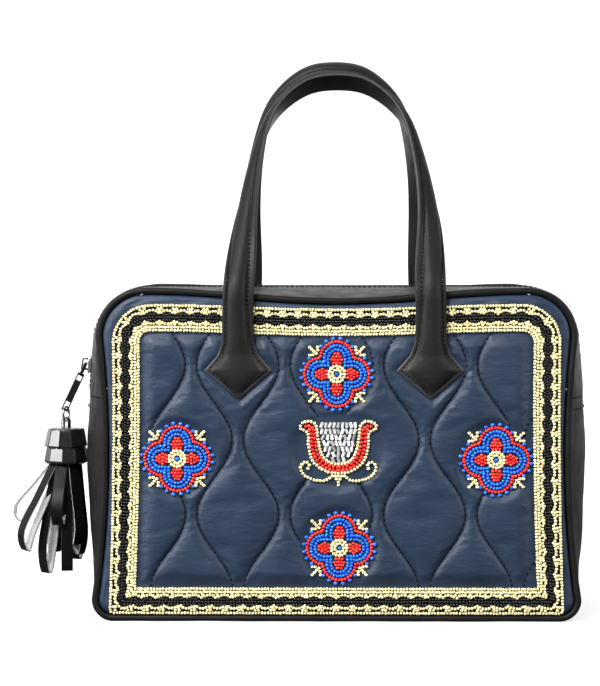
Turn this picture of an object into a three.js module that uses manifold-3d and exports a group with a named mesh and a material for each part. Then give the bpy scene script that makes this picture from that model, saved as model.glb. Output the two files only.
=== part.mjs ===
// A structured top-handle handbag: quilted leather front and back, a bulging gusset with a zip
// over the top, piped seams, two twisted strap handles, beaded ornament on the front panel and
// a leather loop tassel on the zip pull.
// Millimetres, +Z up. The origin is on the floor under the middle of the base. The front faces -Y.

import * as THREE from "three";
import { mergeVertices } from "three/addons/utils/BufferGeometryUtils.js";
import Module from "manifold-3d";

const wasm = await Module();
wasm.setup();

// Body
const GAP = 0.3;
const SEAM_DEPTH = 58;
const PIPING_RADIUS = 2;
const PIPING_SIDES = 6;
const LEATHER = 1.8;
const GUSSET_EDGE = SEAM_DEPTH - PIPING_RADIUS - GAP;
const GUSSET_STEP = 0.6;
const TOP_BULGE = 1;
const SIDE_BULGE = 15;
const BULGE_START = 22;
const JOIN_HEIGHT = 135;
const JOIN_GAP = 0.7;
const ZIP_SLOT = 7.5;

// The piped seam seen from the front: half widths, heights and corner radii
const SEAM_SIZES = {
  base: 145.5,
  waist: 139,
  shoulder: 142.5,
  bottom: PIPING_RADIUS + GAP,
  top: 199.5,
  sag: 6,
  baseCorner: 11,
  topCorner: 28,
};

// The outer edge of the beaded border, in the same terms
const BORDER_SIZES = {
  base: 137,
  waist: 134.5,
  shoulder: 134.3,
  bottom: 5.9,
  top: 191.6,
  sag: 3,
  baseCorner: 3,
  topCorner: 23,
};
const BORDER_WIDTH = 16.6;
const BEAD = 1.7;
const SMALLEST_CORNER = 1;

// Padded panels: rolled edge, wall and ogee quilting
const PANEL_INSET = PIPING_RADIUS + 0.4;
const PANEL_RIM = SEAM_DEPTH - 0.6;
const PANEL_WALL = 3;
const ROLL_WIDTH = 6;
const ROLL_RISE = 2.6;
const EDGE_STEPS = [0, 2.1, 6, 14];
const MIDDLE_ROWS = 13;
const QUILT_PITCH = 28;
const QUILT_SHIFT = -3;
const QUILT_SWAY = 10.6;
const QUILT_PERIOD = 90;
const QUILT_WAIST = 110;
const QUILT_RISE = 2;
const QUILT_SPAN = 3.5;
const FRONT_STEP = 0.25;
const BACK_STEP = 0.5;
const QUILT_FULL_WIDTH = 30;
const PRESSED_LEVEL = 0.4;
const PRESSED_BLEND = 8;
const BORDER_BLEND = { start: 8.2, end: 16.2 };
const MARGIN_FRACTIONS = [0.33, 0.6, 0.88, 1];
const WALL_FRACTIONS = [1, 0.7, 0.38, 0, -0.38, -0.7, -1];

// Beaded ornaments on the front, by their middles
const ROSETTES = [
  { name: "top", x: 0.2, z: 149.7 },
  { name: "left", x: -95.4, z: 98.9 },
  { name: "right", x: 95.6, z: 98.3 },
  { name: "bottom", x: 1.8, z: 45.3 },
];
const LOBE_DISTANCE = 10.3;
const LOBE_RADIUS = 10;
const ROSETTE_PRESS = 23;
const MOTIF = { x: 1.2, z: 104, press: 25 };

// Strap handles: a diamond tab on the panel, then an arch that twists from facing out to facing up
const HANDLE_OUT = 57.5;
const TAB_PRESS = 24;
const TAB_MIDDLE = 152;
const TAB_ROWS = [
  { height: 135.4, width: 2.4, edge: 1.5, core: 1.7, lift: 0.35 },
  { height: 152, width: 40, edge: 1.5, core: 3.2, lift: 0.35 },
  { height: 161, width: 24.5, edge: 1.6, core: 4.2, lift: 0.7 },
  { height: 169, width: 18.8, edge: 1.9, core: 5, lift: 2.4 },
];
const ARCH_ROWS = [
  { out: 57.5, up: 0 },
  { out: 54.7, up: 52 },
  { out: 48.3, up: 93 },
  { out: 38.2, up: 125 },
  { out: 20, up: 144 },
  { out: 0, up: 148.5 },
];
const ARCH_FOOT = 194;
const ARCH_STEPS = 14;
const STRAP = { width: 18.5, edge: 2.4, core: 5.6, back: 0.5, lift: 3.2 };
const STRAP_BEND = 30;
const TWIST_START = 0.07;
const TWIST_EASE = 2.2;
const FRONT_LEAN = THREE.MathUtils.degToRad(27);
const BACK_LEAN = THREE.MathUtils.degToRad(16);
const FRONT_SHIFT = -1.3;
const FRONT_SWAY = 2.2;
const BACK_SWAY = 0.5;
const SWAY_HEIGHT = 60;

// Zip and its pull
const TAPE_HALF = 15;
const TAPE = 1;
const TEETH_HALF = 2.8;
const TEETH_RISE = 2.2;
const ZIP_END = 2;
const SLIDER = { height: 152, width: 8, length: 11, plate: 2.2 };
const BRIDGE = { length: 8, width: 2.4, rise: 4.6, wire: 1.4 };
const PIVOT_RISE = 1.7;
const PULL_LEAN = THREE.MathUtils.degToRad(25);
const PULL = { length: 29, thick: 0.85, half: 2.2, end: 32.6 };
const PULL_EYE = { half: 3.2, holeHalf: 2, top: 0.9, pin: 0.8, holeEnd: 6, end: 7.6 };
const PULL_SLOT_HALF = 1.4;
const PULL_SLOTS = [{ from: 8.4, to: 11.6 }, { from: 26.4, to: 31.1 }];
const RING = { radius: 4.6, wire: 0.8, hang: 0.8 };
const RING_TURN = THREE.MathUtils.degToRad(75);

// Tassel: a bound head and leather strips looped below it
const HEAD_TOP = 111;
const HEAD_PROFILE = [
  { radius: 0, down: 0 },
  { radius: 8, down: 0.4 },
  { radius: 12, down: 2.8 },
  { radius: 13.2, down: 5.4 },
  { radius: 13.2, down: 10.2 },
  { radius: 12, down: 11.4 },
  { radius: 13.2, down: 12.6 },
  { radius: 13.2, down: 18.8 },
  { radius: 11.6, down: 21.6 },
  { radius: 0, down: 21.6 },
];
const HEAD_SIDES = 10;
const STRIP = { width: 7.2, thick: 1.3, steps: 9 };
const HANGER = { width: 4, thick: 1.2, half: 1.75, clear: 1.5, steps: 8 };
const LOOPS = [
  { turn: 0, reach: 32, drop: 36 },
  { turn: 36, reach: 32, drop: 53 },
  { turn: 48, reach: 20, drop: 68 },
  { turn: 77, reach: 18, drop: 37 },
  { turn: 98, reach: 12.5, drop: 67 },
  { turn: 128, reach: 16, drop: 50 },
  { turn: 156, reach: 13, drop: 57 },
  { turn: 238, reach: 13, drop: 62 },
  { turn: 306, reach: 19, drop: 58 },
];

// Finishes
const NAVY = { color: 0x343e52, roughness: 0.5, metalness: 0 };
const BLACK = { color: 0x1c1c1f, roughness: 0.45, metalness: 0 };
const PATENT = { color: 0x0c0c0e, roughness: 0.12, metalness: 0 };
const TAPE_CLOTH = { color: 0x17181c, roughness: 0.85, metalness: 0 };
const CHROME = { color: 0xd4d6d8, roughness: 0.12, metalness: 1 };
const CREAM = { color: 0xefe2b4, roughness: 0.3, metalness: 0 };
const BLUE = { color: 0x1e5ad8, roughness: 0.3, metalness: 0 };
const RED = { color: 0xdc2a20, roughness: 0.3, metalness: 0 };

const { clamp, lerp, smoothstep } = THREE.MathUtils;

// A symmetric closed outline with pinched sides, a sagging top and round corners.
class Outline {
  constructor(sizes) {
    Object.assign(this, sizes);
    this.sideFoot = this.bottom + this.baseCorner;
    this.sideHead = this.top - this.topCorner;
    this.floorHalf = this.base - this.baseCorner;
    this.topHalf = this.shoulder - this.topCorner;
  }

  inset(distance) {
    return new Outline({
      base: this.base - distance,
      waist: this.waist - distance,
      shoulder: this.shoulder - distance,
      bottom: this.bottom + distance,
      top: this.top - distance,
      sag: this.sag,
      baseCorner: Math.max(this.baseCorner - distance, SMALLEST_CORNER),
      topCorner: Math.max(this.topCorner - distance, SMALLEST_CORNER),
    });
  }

  // Half width of the pinched side, a parabola through base, waist and shoulder
  side(z) {
    const t = (z - this.sideFoot) / (this.sideHead - this.sideFoot);
    const atBase = this.base * (1 - t) * (1 - 2 * t);
    const atWaist = this.waist * 4 * t * (1 - t);
    const atShoulder = this.shoulder * t * (2 * t - 1);
    return atBase + atWaist + atShoulder;
  }

  // Half width at a height, corners included
  halfWidth(z) {
    if (z < this.sideFoot) {
      const drop = Math.min(this.sideFoot - z, this.baseCorner);
      return this.floorHalf + Math.sqrt(this.baseCorner ** 2 - drop ** 2);
    }
    if (z > this.sideHead) {
      const rise = Math.min(z - this.sideHead, this.topCorner);
      return this.topHalf + Math.sqrt(this.topCorner ** 2 - rise ** 2);
    }
    return this.side(z);
  }

  // How far the top edge hangs below its shoulders
  dip(x) {
    const t = clamp(Math.abs(x) / this.topHalf, 0, 1);
    return (this.sag * (1 + Math.cos(Math.PI * t))) / 2;
  }

  // The right half from the middle of the base up to a height on the side
  lowerHalf(height, { floor, corner, side }) {
    const points = [];
    for (let i = 0; i < floor; i++) {
      points.push({ x: (this.floorHalf * i) / floor, z: this.bottom, dip: 0 });
    }
    for (let i = 0; i < corner; i++) {
      const angle = (Math.PI / 2) * (i / corner);
      const x = this.floorHalf + this.baseCorner * Math.sin(angle);
      const z = this.sideFoot - this.baseCorner * Math.cos(angle);
      points.push({ x, z, dip: 0 });
    }
    for (let i = 0; i <= side; i++) {
      const z = lerp(this.sideFoot, height, i / side);
      points.push({ x: this.side(z), z, dip: 0 });
    }
    return points;
  }

  // The right half from a height on the side up to the middle of the top
  upperHalf(height, { side, corner, top }) {
    const points = [];
    for (let i = 0; i < side; i++) {
      const z = lerp(height, this.sideHead, i / side);
      points.push({ x: this.side(z), z, dip: 0 });
    }
    for (let i = 0; i < corner; i++) {
      const angle = (Math.PI / 2) * (i / corner);
      const x = this.topHalf + this.topCorner * Math.cos(angle);
      const z = this.sideHead + this.topCorner * Math.sin(angle);
      points.push({ x, z, dip: 0 });
    }
    for (let i = 0; i <= top; i++) {
      const x = this.topHalf * (1 - i / top);
      points.push({ x, z: this.top - this.dip(x), dip: this.dip(x) });
    }
    return points;
  }

  // Left side, base and right side, open at a height on both sides
  cradle(height, steps) {
    const right = this.lowerHalf(height, steps);
    const left = right.slice(1).reverse().map(mirrored);
    return withNormals([...left, ...right], false);
  }

  // Right side, top and left side, open at a height on both sides
  arch(height, steps) {
    const right = this.upperHalf(height, steps);
    const left = right.slice(0, -1).reverse().map(mirrored);
    return withNormals([...right, ...left], false);
  }

  // The whole closed outline, anticlockwise seen from the front
  loop(lowerSteps, upperSteps) {
    const lower = this.lowerHalf(JOIN_HEIGHT, lowerSteps);
    const upper = this.upperHalf(JOIN_HEIGHT, upperSteps);
    const right = [...lower, ...upper.slice(1)];
    const left = right.slice(1, -1).reverse().map(mirrored);
    return withNormals([...right, ...left], true);
  }
}

function mirrored(point) {
  return { ...point, x: -point.x };
}

// Adds to each outline point the direction that leads outwards
function withNormals(points, closed) {
  const last = points.length - 1;
  return points.map((point, i) => {
    const before = closed ? points[(i + last) % (last + 1)] : points[Math.max(i - 1, 0)];
    const after = closed ? points[(i + 1) % (last + 1)] : points[Math.min(i + 1, last)];
    const along = Math.hypot(after.x - before.x, after.z - before.z);
    return { ...point, nx: (after.z - before.z) / along, nz: (before.x - after.x) / along };
  });
}

// A closed solid through sections that all have the same count of points
function loft(sections, { closed = false, cap = flatCap } = {}) {
  const count = sections[0].length;
  const points = sections.flat();
  const index = [];
  const spans = closed ? sections.length : sections.length - 1;
  for (let i = 0; i < spans; i++) {
    const here = i * count;
    const next = ((i + 1) % sections.length) * count;
    for (let j = 0; j < count; j++) {
      const k = (j + 1) % count;
      index.push(here + j, here + k, next + k, here + j, next + k, next + j);
    }
  }
  if (!closed) {
    cap(sections[0]).forEach(([a, b, c]) => index.push(c, b, a));
    cap(sections.at(-1)).forEach((face) => index.push(...face.map((corner) => corner + spans * count)));
  }
  return solid(points.flatMap((p) => [p.x, p.y, p.z]), index);
}

// Triangles that close a flat section, turned the way its points run
function flatCap(section) {
  const normal = new THREE.Vector3();
  section.forEach((point, i) => {
    normal.add(new THREE.Vector3().crossVectors(point, section[(i + 1) % section.length]));
  });
  normal.normalize();
  const u = new THREE.Vector3().subVectors(section[1], section[0]).projectOnPlane(normal).normalize();
  const v = new THREE.Vector3().crossVectors(normal, u);
  const flat = section.map((point) => new THREE.Vector2(point.dot(u), point.dot(v)));
  return THREE.ShapeUtils.triangulateShape(flat, []);
}

// Triangles between a section's face, its first points, and the wall that runs back behind it
function ribbonCap(section, faceCount) {
  const faces = [];
  let front = 0;
  let back = section.length - 1;
  while (front < faceCount - 1 || back > faceCount) {
    const faceIsNext = front < faceCount - 1 && section[front + 1].x <= section[back - 1].x;
    if (back === faceCount || faceIsNext) {
      faces.push([front, front + 1, back]);
      front += 1;
    } else {
      faces.push([front, back - 1, back]);
      back -= 1;
    }
  }
  return faces;
}

// A geometry from positions and triangles, with its faces pointing out
function solid(positions, index) {
  let volume = 0;
  const [a, b, c] = [new THREE.Vector3(), new THREE.Vector3(), new THREE.Vector3()];
  for (let i = 0; i < index.length; i += 3) {
    a.fromArray(positions, index[i] * 3);
    b.fromArray(positions, index[i + 1] * 3);
    c.fromArray(positions, index[i + 2] * 3);
    volume += a.dot(b.cross(c));
  }
  const geometry = new THREE.BufferGeometry();
  geometry.setAttribute("position", new THREE.Float32BufferAttribute(positions, 3));
  geometry.setIndex(volume < 0 ? [...index].reverse() : index);
  return geometry;
}

// One body out of several closed geometries
function joined(...geometries) {
  const whole = geometries.map(toManifold).reduce((sum, next) => sum.add(next));
  const mesh = whole.getMesh();
  return solid(Array.from(mesh.vertProperties), Array.from(mesh.triVerts));
}

function toManifold(geometry) {
  const bare = new THREE.BufferGeometry();
  bare.setAttribute("position", geometry.getAttribute("position").clone());
  bare.setIndex(geometry.getIndex());
  const merged = mergeVertices(bare, 1e-3);
  const triangles = [];
  const index = merged.getIndex().array;
  for (let i = 0; i < index.length; i += 3) {
    const corners = [index[i], index[i + 1], index[i + 2]];
    if (new Set(corners).size === 3) {
      triangles.push(...corners);
    }
  }
  const positions = Array.from(merged.getAttribute("position").array);
  const closed = solid(positions, triangles);
  return new wasm.Manifold(
    new wasm.Mesh({
      numProp: 3,
      vertProperties: new Float32Array(positions),
      triVerts: new Uint32Array(closed.getIndex().array),
    }),
  );
}

// A flat shape given thickness: shape x runs along u, shape y along v, thickness along u x v
function plate(shape, thickness, u, v, curveSegments = 6) {
  const geometry = new THREE.ExtrudeGeometry(shape, { depth: thickness, bevelEnabled: false, curveSegments });
  const w = new THREE.Vector3().crossVectors(u, v);
  return geometry.applyMatrix4(new THREE.Matrix4().makeBasis(u, v, w));
}

function rectangle(left, bottom, right, top) {
  return new THREE.Shape([
    new THREE.Vector2(left, bottom),
    new THREE.Vector2(right, bottom),
    new THREE.Vector2(right, top),
    new THREE.Vector2(left, top),
  ]);
}

const X = new THREE.Vector3(1, 0, 0);
const Y = new THREE.Vector3(0, 1, 0);
const Z = new THREE.Vector3(0, 0, 1);

const SEAM = new Outline(SEAM_SIZES);
const PANEL = SEAM.inset(PANEL_INSET);
const BORDER = new Outline(BORDER_SIZES);
const BORDER_INNER = BORDER.inset(BORDER_WIDTH);
const LOWER_STEPS = { floor: 1, corner: 4, side: 5 };
const UPPER_STEPS = { side: 3, corner: 6, top: 7 };

// Gusset: how far its outer face stands outside the seam, bulging between the two piped edges
function gussetOffset(point, y) {
  const across = 1 - (y / GUSSET_EDGE) ** 2;
  const height = point.z + point.dip;
  const step = lerp(SEAM.bottom, GUSSET_STEP, smoothstep(height, SEAM.bottom, BULGE_START));
  const swell = TOP_BULGE + SIDE_BULGE * Math.sin((Math.PI * clamp(height, 0, SEAM.top)) / SEAM.top);
  const bulge = swell * smoothstep(height, SEAM.bottom, BULGE_START) + point.dip;
  return step + bulge * across;
}

function offSeam(point, y, offset) {
  return new THREE.Vector3(point.x + point.nx * offset, y, point.z + point.nz * offset);
}

// A leather wall along the seam: outer face at one list of depths, inner face at another
function gussetWall(stations, outerDepths, innerDepths) {
  const sections = stations.map((point) => [
    ...outerDepths.map((y) => offSeam(point, y, gussetOffset(point, y))),
    ...innerDepths.map((y) => offSeam(point, y, gussetOffset(point, y) - LEATHER)),
  ]);
  return loft(sections);
}

function gussetBase() {
  const outer = [-1, -0.75, -0.4, 0, 0.4, 0.75, 1].map((share) => share * GUSSET_EDGE);
  const inner = [1, 0.5, 0, -0.5, -1].map((share) => share * GUSSET_EDGE);
  return gussetWall(SEAM.cradle(JOIN_HEIGHT - JOIN_GAP, LOWER_STEPS), outer, inner);
}

// The half of the top gusset on the front side of the zip
function gussetTop() {
  const outer = [-GUSSET_EDGE, -0.72 * GUSSET_EDGE, -0.42 * GUSSET_EDGE, -TAPE_HALF, -ZIP_SLOT];
  const inner = [-ZIP_SLOT, -TAPE_HALF, -0.5 * GUSSET_EDGE, -GUSSET_EDGE];
  return gussetWall(SEAM.arch(JOIN_HEIGHT, UPPER_STEPS), outer, inner);
}

// Zip tape under both halves of the top gusset, with the closed teeth as a ridge along its middle
function zip() {
  const underLeather = (point, y) => gussetOffset(point, y) - LEATHER - GAP;
  const sections = SEAM.arch(JOIN_HEIGHT + ZIP_END, UPPER_STEPS).map((point) => {
    const at = (y, rise) => offSeam(point, y, underLeather(point, y) + rise);
    return [
      at(-TAPE_HALF, 0),
      at(-ZIP_SLOT, 0),
      at(-TEETH_HALF, 0),
      at(-TEETH_HALF, TEETH_RISE),
      at(TEETH_HALF, TEETH_RISE),
      at(TEETH_HALF, 0),
      at(ZIP_SLOT, 0),
      at(TAPE_HALF, 0),
      at(TAPE_HALF, -TAPE),
      at(-TAPE_HALF, -TAPE),
    ];
  });
  return loft(sections);
}

function piping() {
  const sections = SEAM.loop(LOWER_STEPS, UPPER_STEPS).map((point) =>
    Array.from({ length: PIPING_SIDES }, (_, i) => {
      const angle = (2 * Math.PI * i) / PIPING_SIDES;
      return offSeam(point, -SEAM_DEPTH + PIPING_RADIUS * Math.cos(angle), PIPING_RADIUS * Math.sin(angle));
    }),
  );
  return loft(sections, { closed: true });
}

// Panel face without its quilting: a flat field that rolls back to the seam at its edge
function seat(x, z) {
  const toSide = PANEL.halfWidth(z) - Math.abs(x);
  const toTop = PANEL.top - PANEL.dip(x) - z;
  const toBase = z - PANEL.bottom;
  const inward = clamp(Math.min(toSide, toTop, toBase) / ROLL_WIDTH, 0, 1);
  return PANEL_RIM + ROLL_RISE * Math.sqrt(1 - (1 - inward) ** 2);
}

// Sideways swing of the quilting lines at a height
function quiltWave(z) {
  return -Math.cos((2 * Math.PI * (z - QUILT_WAIST)) / QUILT_PERIOD);
}

// 1 and -1 by turns on the quilting lines, 0 half-way between them
function zigzag(q) {
  const phase = (((q + 0.5) % 2) + 2) % 2;
  return 1 - 2 * Math.abs(phase - 1);
}

// 1 well inside the beaded border, 0 near its inner edge
function insideBorder(x, z) {
  const toSide = BORDER_INNER.halfWidth(z) - Math.abs(x);
  const toTop = BORDER_INNER.top - BORDER_INNER.dip(x) - z;
  const toBase = z - BORDER_INNER.bottom;
  return smoothstep(Math.min(toSide, toTop, toBase), BORDER_BLEND.start, BORDER_BLEND.end);
}

// Padding that stands up between the quilting lines, pressed flat under what is sewn on
function quilting(q, x, z, pressed) {
  const width = QUILT_PITCH + 2 * QUILT_SWAY * quiltWave(z) * (Math.round(q) % 2 === 0 ? 1 : -1);
  const puff = Math.abs(Math.cos(Math.PI * q)) * clamp(width / QUILT_FULL_WIDTH, 0, 1);
  const covered = pressed.map((spot) => {
    const away = Math.hypot(x - spot.x, z - spot.z) - spot.press;
    return 1 - smoothstep(away, PRESSED_BLEND, 2 * PRESSED_BLEND);
  });
  const press = Math.max(...covered);
  return QUILT_RISE * lerp(puff * insideBorder(x, z), PRESSED_LEVEL * insideBorder(x, z), press);
}

// A quilted panel, row by row from the base to the top
function panel(pressed, quiltStep) {
  const bottomRows = EDGE_STEPS.map((step) => PANEL.bottom + step);
  const topRows = EDGE_STEPS.map((step) => PANEL.top - step).reverse();
  const middleRows = Array.from({ length: MIDDLE_ROWS }, (_, i) =>
    lerp(bottomRows.at(-1), topRows[0], (i + 1) / (MIDDLE_ROWS + 1)),
  );
  const middle = (PANEL.bottom + PANEL.top) / 2;
  const sections = [...bottomRows, ...middleRows, ...topRows].map((row) => {
    const half = PANEL.halfWidth(row);
    const hang = clamp((row - middle) / (PANEL.top - middle), 0, 1) ** 2;
    const place = (x, y) => new THREE.Vector3(x, y, row - PANEL.dip(x) * hang);
    const face = panelColumns(row, half, quiltStep).map(({ q, x }) => {
      const z = row - PANEL.dip(x) * hang;
      return place(x, -seat(x, z) - quilting(q, x, z, pressed));
    });
    const wall = WALL_FRACTIONS.map((share) => {
      const x = half * share;
      return place(x, PANEL_WALL - seat(x, row - PANEL.dip(x) * hang));
    });
    return [...face, ...wall];
  });
  const faceCount = sections[0].length - WALL_FRACTIONS.length;
  return loft(sections, { cap: (section) => ribbonCap(section, faceCount) });
}

// Column places on one row: along the quilting lines, then out across the margins
function panelColumns(row, half, quiltStep) {
  const sway = QUILT_SWAY * quiltWave(row) * insideBorder(0, row);
  const along = (q) => QUILT_SHIFT + QUILT_PITCH * q + sway * zigzag(q);
  const inner = [];
  for (let q = -QUILT_SPAN; q <= QUILT_SPAN; q += quiltStep) {
    inner.push({ q, x: along(q) });
  }
  const rim = QUILT_SPAN + quiltStep;
  const right = MARGIN_FRACTIONS.map((share) => ({ q: rim, x: lerp(along(QUILT_SPAN), half, share) }));
  const left = MARGIN_FRACTIONS.map((share) => ({ q: -rim, x: lerp(along(-QUILT_SPAN), -half, share) }));
  return [...left.reverse(), ...inner, ...right];
}

// Beaded border: a flat band with round outer corners that follows the panel's edge
function beadBorder() {
  const outer = BORDER.loop(LOWER_STEPS, UPPER_STEPS);
  const inner = BORDER_INNER.loop(LOWER_STEPS, UPPER_STEPS);
  const across = [0, 0.2, 1];
  const sections = outer.map((point, i) => {
    const at = (share, lift) => {
      const x = lerp(point.x, inner[i].x, share);
      const z = lerp(point.z, inner[i].z, share);
      return new THREE.Vector3(x, -seat(x, z) - lift, z);
    };
    const back = across.map((share) => at(share, GAP));
    const face = across.map((share) => at(share, GAP + BEAD)).reverse();
    return [...back, ...face];
  });
  return loft(sections, { closed: true });
}

// Where something sewn on the quilting starts
const SEWN_ON = PANEL_RIM + ROLL_RISE + QUILT_RISE * PRESSED_LEVEL + GAP;

// Four-lobed rosette
function rosette() {
  const reach = (LOBE_DISTANCE + Math.sqrt(2 * LOBE_RADIUS ** 2 - LOBE_DISTANCE ** 2)) / 2;
  const sweep = Math.atan2(reach, reach - LOBE_DISTANCE);
  const shape = new THREE.Shape();
  for (let lobe = 0; lobe < 4; lobe++) {
    const turn = (Math.PI / 2) * lobe;
    const x = LOBE_DISTANCE * Math.cos(turn);
    const y = LOBE_DISTANCE * Math.sin(turn);
    shape.absarc(x, y, LOBE_RADIUS, turn - sweep, turn + sweep);
  }
  return plate(shape, BEAD, X, Z, 3);
}

// Flower cup with flared lips, on scrolled arms with a drop between them
function motif() {
  const shape = new THREE.Shape();
  shape.moveTo(0, -21.6);
  shape.quadraticCurveTo(2.4, -18.6, 4, -17);
  shape.quadraticCurveTo(9, -20.4, 16, -18.4);
  shape.quadraticCurveTo(23.8, -15.6, 23.6, -9.6);
  shape.quadraticCurveTo(22, -4.8, 17.2, -6.4);
  shape.quadraticCurveTo(19.2, 2, 19, 9);
  shape.quadraticCurveTo(24.6, 12, 22.4, 16.4);
  shape.quadraticCurveTo(18, 19.4, 13, 17.4);
  shape.lineTo(-13, 17.4);
  shape.quadraticCurveTo(-18, 19.4, -22.4, 16.4);
  shape.quadraticCurveTo(-24.6, 12, -19, 9);
  shape.quadraticCurveTo(-19.2, 2, -17.2, -6.4);
  shape.quadraticCurveTo(-22, -4.8, -23.6, -9.6);
  shape.quadraticCurveTo(-23.8, -15.6, -16, -18.4);
  shape.quadraticCurveTo(-9, -20.4, -4, -17);
  shape.quadraticCurveTo(-2.4, -18.6, 0, -21.6);
  return plate(shape, BEAD, X, Z, 3);
}

// One section of a padded strap: thin sewn edges, a raised core and a slightly full back
function strapSection(middle, across, normal, { width, edge, core, back = 0 }) {
  const outline = [
    [-0.5, edge], [-0.34, edge], [-0.18, core], [0.18, core], [0.34, edge],
    [0.5, edge], [0.5, 0], [0.2, -back], [-0.2, -back], [-0.5, 0],
  ];
  return outline.map(([share, rise]) =>
    middle.clone().addScaledVector(across, share * width).addScaledVector(normal, rise),
  );
}

// Height and depth on the strap's plane, which bends back from upright to its lean
function leaning(up, lean) {
  const angle = clamp(up / STRAP_BEND, 0, lean);
  const straight = Math.max(up - STRAP_BEND * lean, 0);
  return {
    angle,
    depth: STRAP_BEND * (1 - Math.cos(angle)) + straight * Math.sin(angle),
    height: STRAP_BEND * Math.sin(angle) + straight * Math.cos(angle),
  };
}

// A handle on the front panel: the left tab, the arch and the right tab. The arch sways to one side.
function handle(lean, sway) {
  const front = Y.clone().negate();
  const tab = TAB_ROWS.map((row) => {
    const middle = new THREE.Vector3(-HANDLE_OUT, GAP - SEWN_ON - row.lift, row.height);
    return strapSection(middle, X, front, row);
  });
  const rows = [...ARCH_ROWS, ...ARCH_ROWS.slice(0, -1).reverse().map(({ out, up }) => ({ out: -out, up }))];
  const curve = new THREE.SplineCurve(rows.map(({ out, up }) => new THREE.Vector2(-out, up)));
  const foot = -PANEL_RIM - ROLL_RISE - STRAP.lift;
  const arch = Array.from({ length: ARCH_STEPS + 1 }, (_, i) => {
    const share = i / ARCH_STEPS;
    const flat = curve.getPointAt(share / 2);
    const run = curve.getTangentAt(share / 2);
    const { angle, depth, height } = leaning(flat.y, lean);
    const upward = new THREE.Vector3(0, Math.sin(angle), Math.cos(angle));
    const facing = new THREE.Vector3(0, -Math.cos(angle), Math.sin(angle));
    const along = X.clone().multiplyScalar(run.x).addScaledVector(upward, run.y);
    const outward = X.clone().multiplyScalar(-run.y).addScaledVector(upward, run.x);
    const turned = clamp((share - TWIST_START) / (1 - TWIST_START), 0, 1);
    const twist = (Math.PI / 2) * (1 - (1 - turned) ** TWIST_EASE);
    const normal = facing.multiplyScalar(Math.cos(twist)).addScaledVector(outward, Math.sin(twist));
    const across = new THREE.Vector3().crossVectors(normal, along).negate();
    const middle = new THREE.Vector3(flat.x, foot + depth, ARCH_FOOT + height);
    return strapSection(middle, across, normal, STRAP);
  });
  const left = [...tab, ...arch];
  const right = left.slice(0, -1).reverse().map((section) =>
    section.map((point) => new THREE.Vector3(-point.x, point.y, point.z)),
  );
  const sections = [...left, ...right];
  for (const point of sections.flat()) {
    point.x += sway * smoothstep(point.z, ARCH_FOOT, ARCH_FOOT + SWAY_HEIGHT);
  }
  return loft(sections);
}

// Slider: a plate on the teeth with a bridge that carries the pull. Outwards is -X.
function slider() {
  const outline = new THREE.Shape();
  const half = SLIDER.width / 2;
  const end = SLIDER.length / 2;
  outline.moveTo(-half * 0.6, -end);
  outline.lineTo(half * 0.6, -end);
  outline.quadraticCurveTo(half, 0, half, end * 0.5);
  outline.quadraticCurveTo(half, end, half * 0.5, end);
  outline.lineTo(-half * 0.5, end);
  outline.quadraticCurveTo(-half, end, -half, end * 0.5);
  outline.quadraticCurveTo(-half, 0, -half * 0.6, -end);
  const base = plate(outline, SLIDER.plate, Y, Z).translate(-SLIDER.plate, 0, 0);
  const foot = SLIDER.plate / 2;
  const top = SLIDER.plate + BRIDGE.rise;
  const staple = rectangle(-top, -BRIDGE.length / 2, -foot, BRIDGE.length / 2);
  const inner = BRIDGE.length / 2 - BRIDGE.wire;
  staple.holes.push(rectangle(BRIDGE.wire - top, -inner, -SLIDER.plate, inner));
  const bridge = plate(staple, BRIDGE.width, X, Z).translate(0, BRIDGE.width / 2, 0);
  return joined(base, bridge);
}

// Pull bar hanging from its pivot at the origin: an eye for the bridge, and a flat bar with a slot at either end
function pullBar() {
  const upper = rectangle(-PULL_EYE.half, -PULL_EYE.end, PULL_EYE.half, PULL_EYE.top);
  upper.holes.push(rectangle(-PULL_EYE.holeHalf, -PULL_EYE.holeEnd, PULL_EYE.holeHalf, -PULL_EYE.pin));
  const eye = plate(upper, 2 * PULL.thick, Y, Z).translate(-PULL.thick, 0, 0);
  const flat = rectangle(-PULL.half, -PULL.end, PULL.half, -PULL_EYE.holeEnd - 0.6);
  for (const { from, to } of PULL_SLOTS) {
    flat.holes.push(rectangle(-PULL_SLOT_HALF, -to, PULL_SLOT_HALF, -from));
  }
  const bar = plate(flat, 2 * PULL.thick, X, Z).translate(0, PULL.thick, 0);
  return joined(eye, bar);
}

// A leather strip along a path in a vertical plane, its width square to that plane
function strip(path, outwards, { width, thick, steps }) {
  const curve = new THREE.SplineCurve(path.map(({ away, down }) => new THREE.Vector2(away, -down)));
  const sideways = new THREE.Vector3().crossVectors(outwards, Z);
  const sections = Array.from({ length: steps + 1 }, (_, i) => {
    const place = curve.getPointAt(i / steps);
    const run = curve.getTangentAt(i / steps);
    const corner = (along, across) =>
      outwards.clone().multiplyScalar(place.x - run.y * across)
        .addScaledVector(Z, place.y + run.x * across)
        .addScaledVector(sideways, along);
    const [w, t] = [width / 2, thick / 2];
    return [corner(-w, -t), corner(w, -t), corner(w, t), corner(-w, t)];
  });
  return loft(sections);
}

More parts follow.
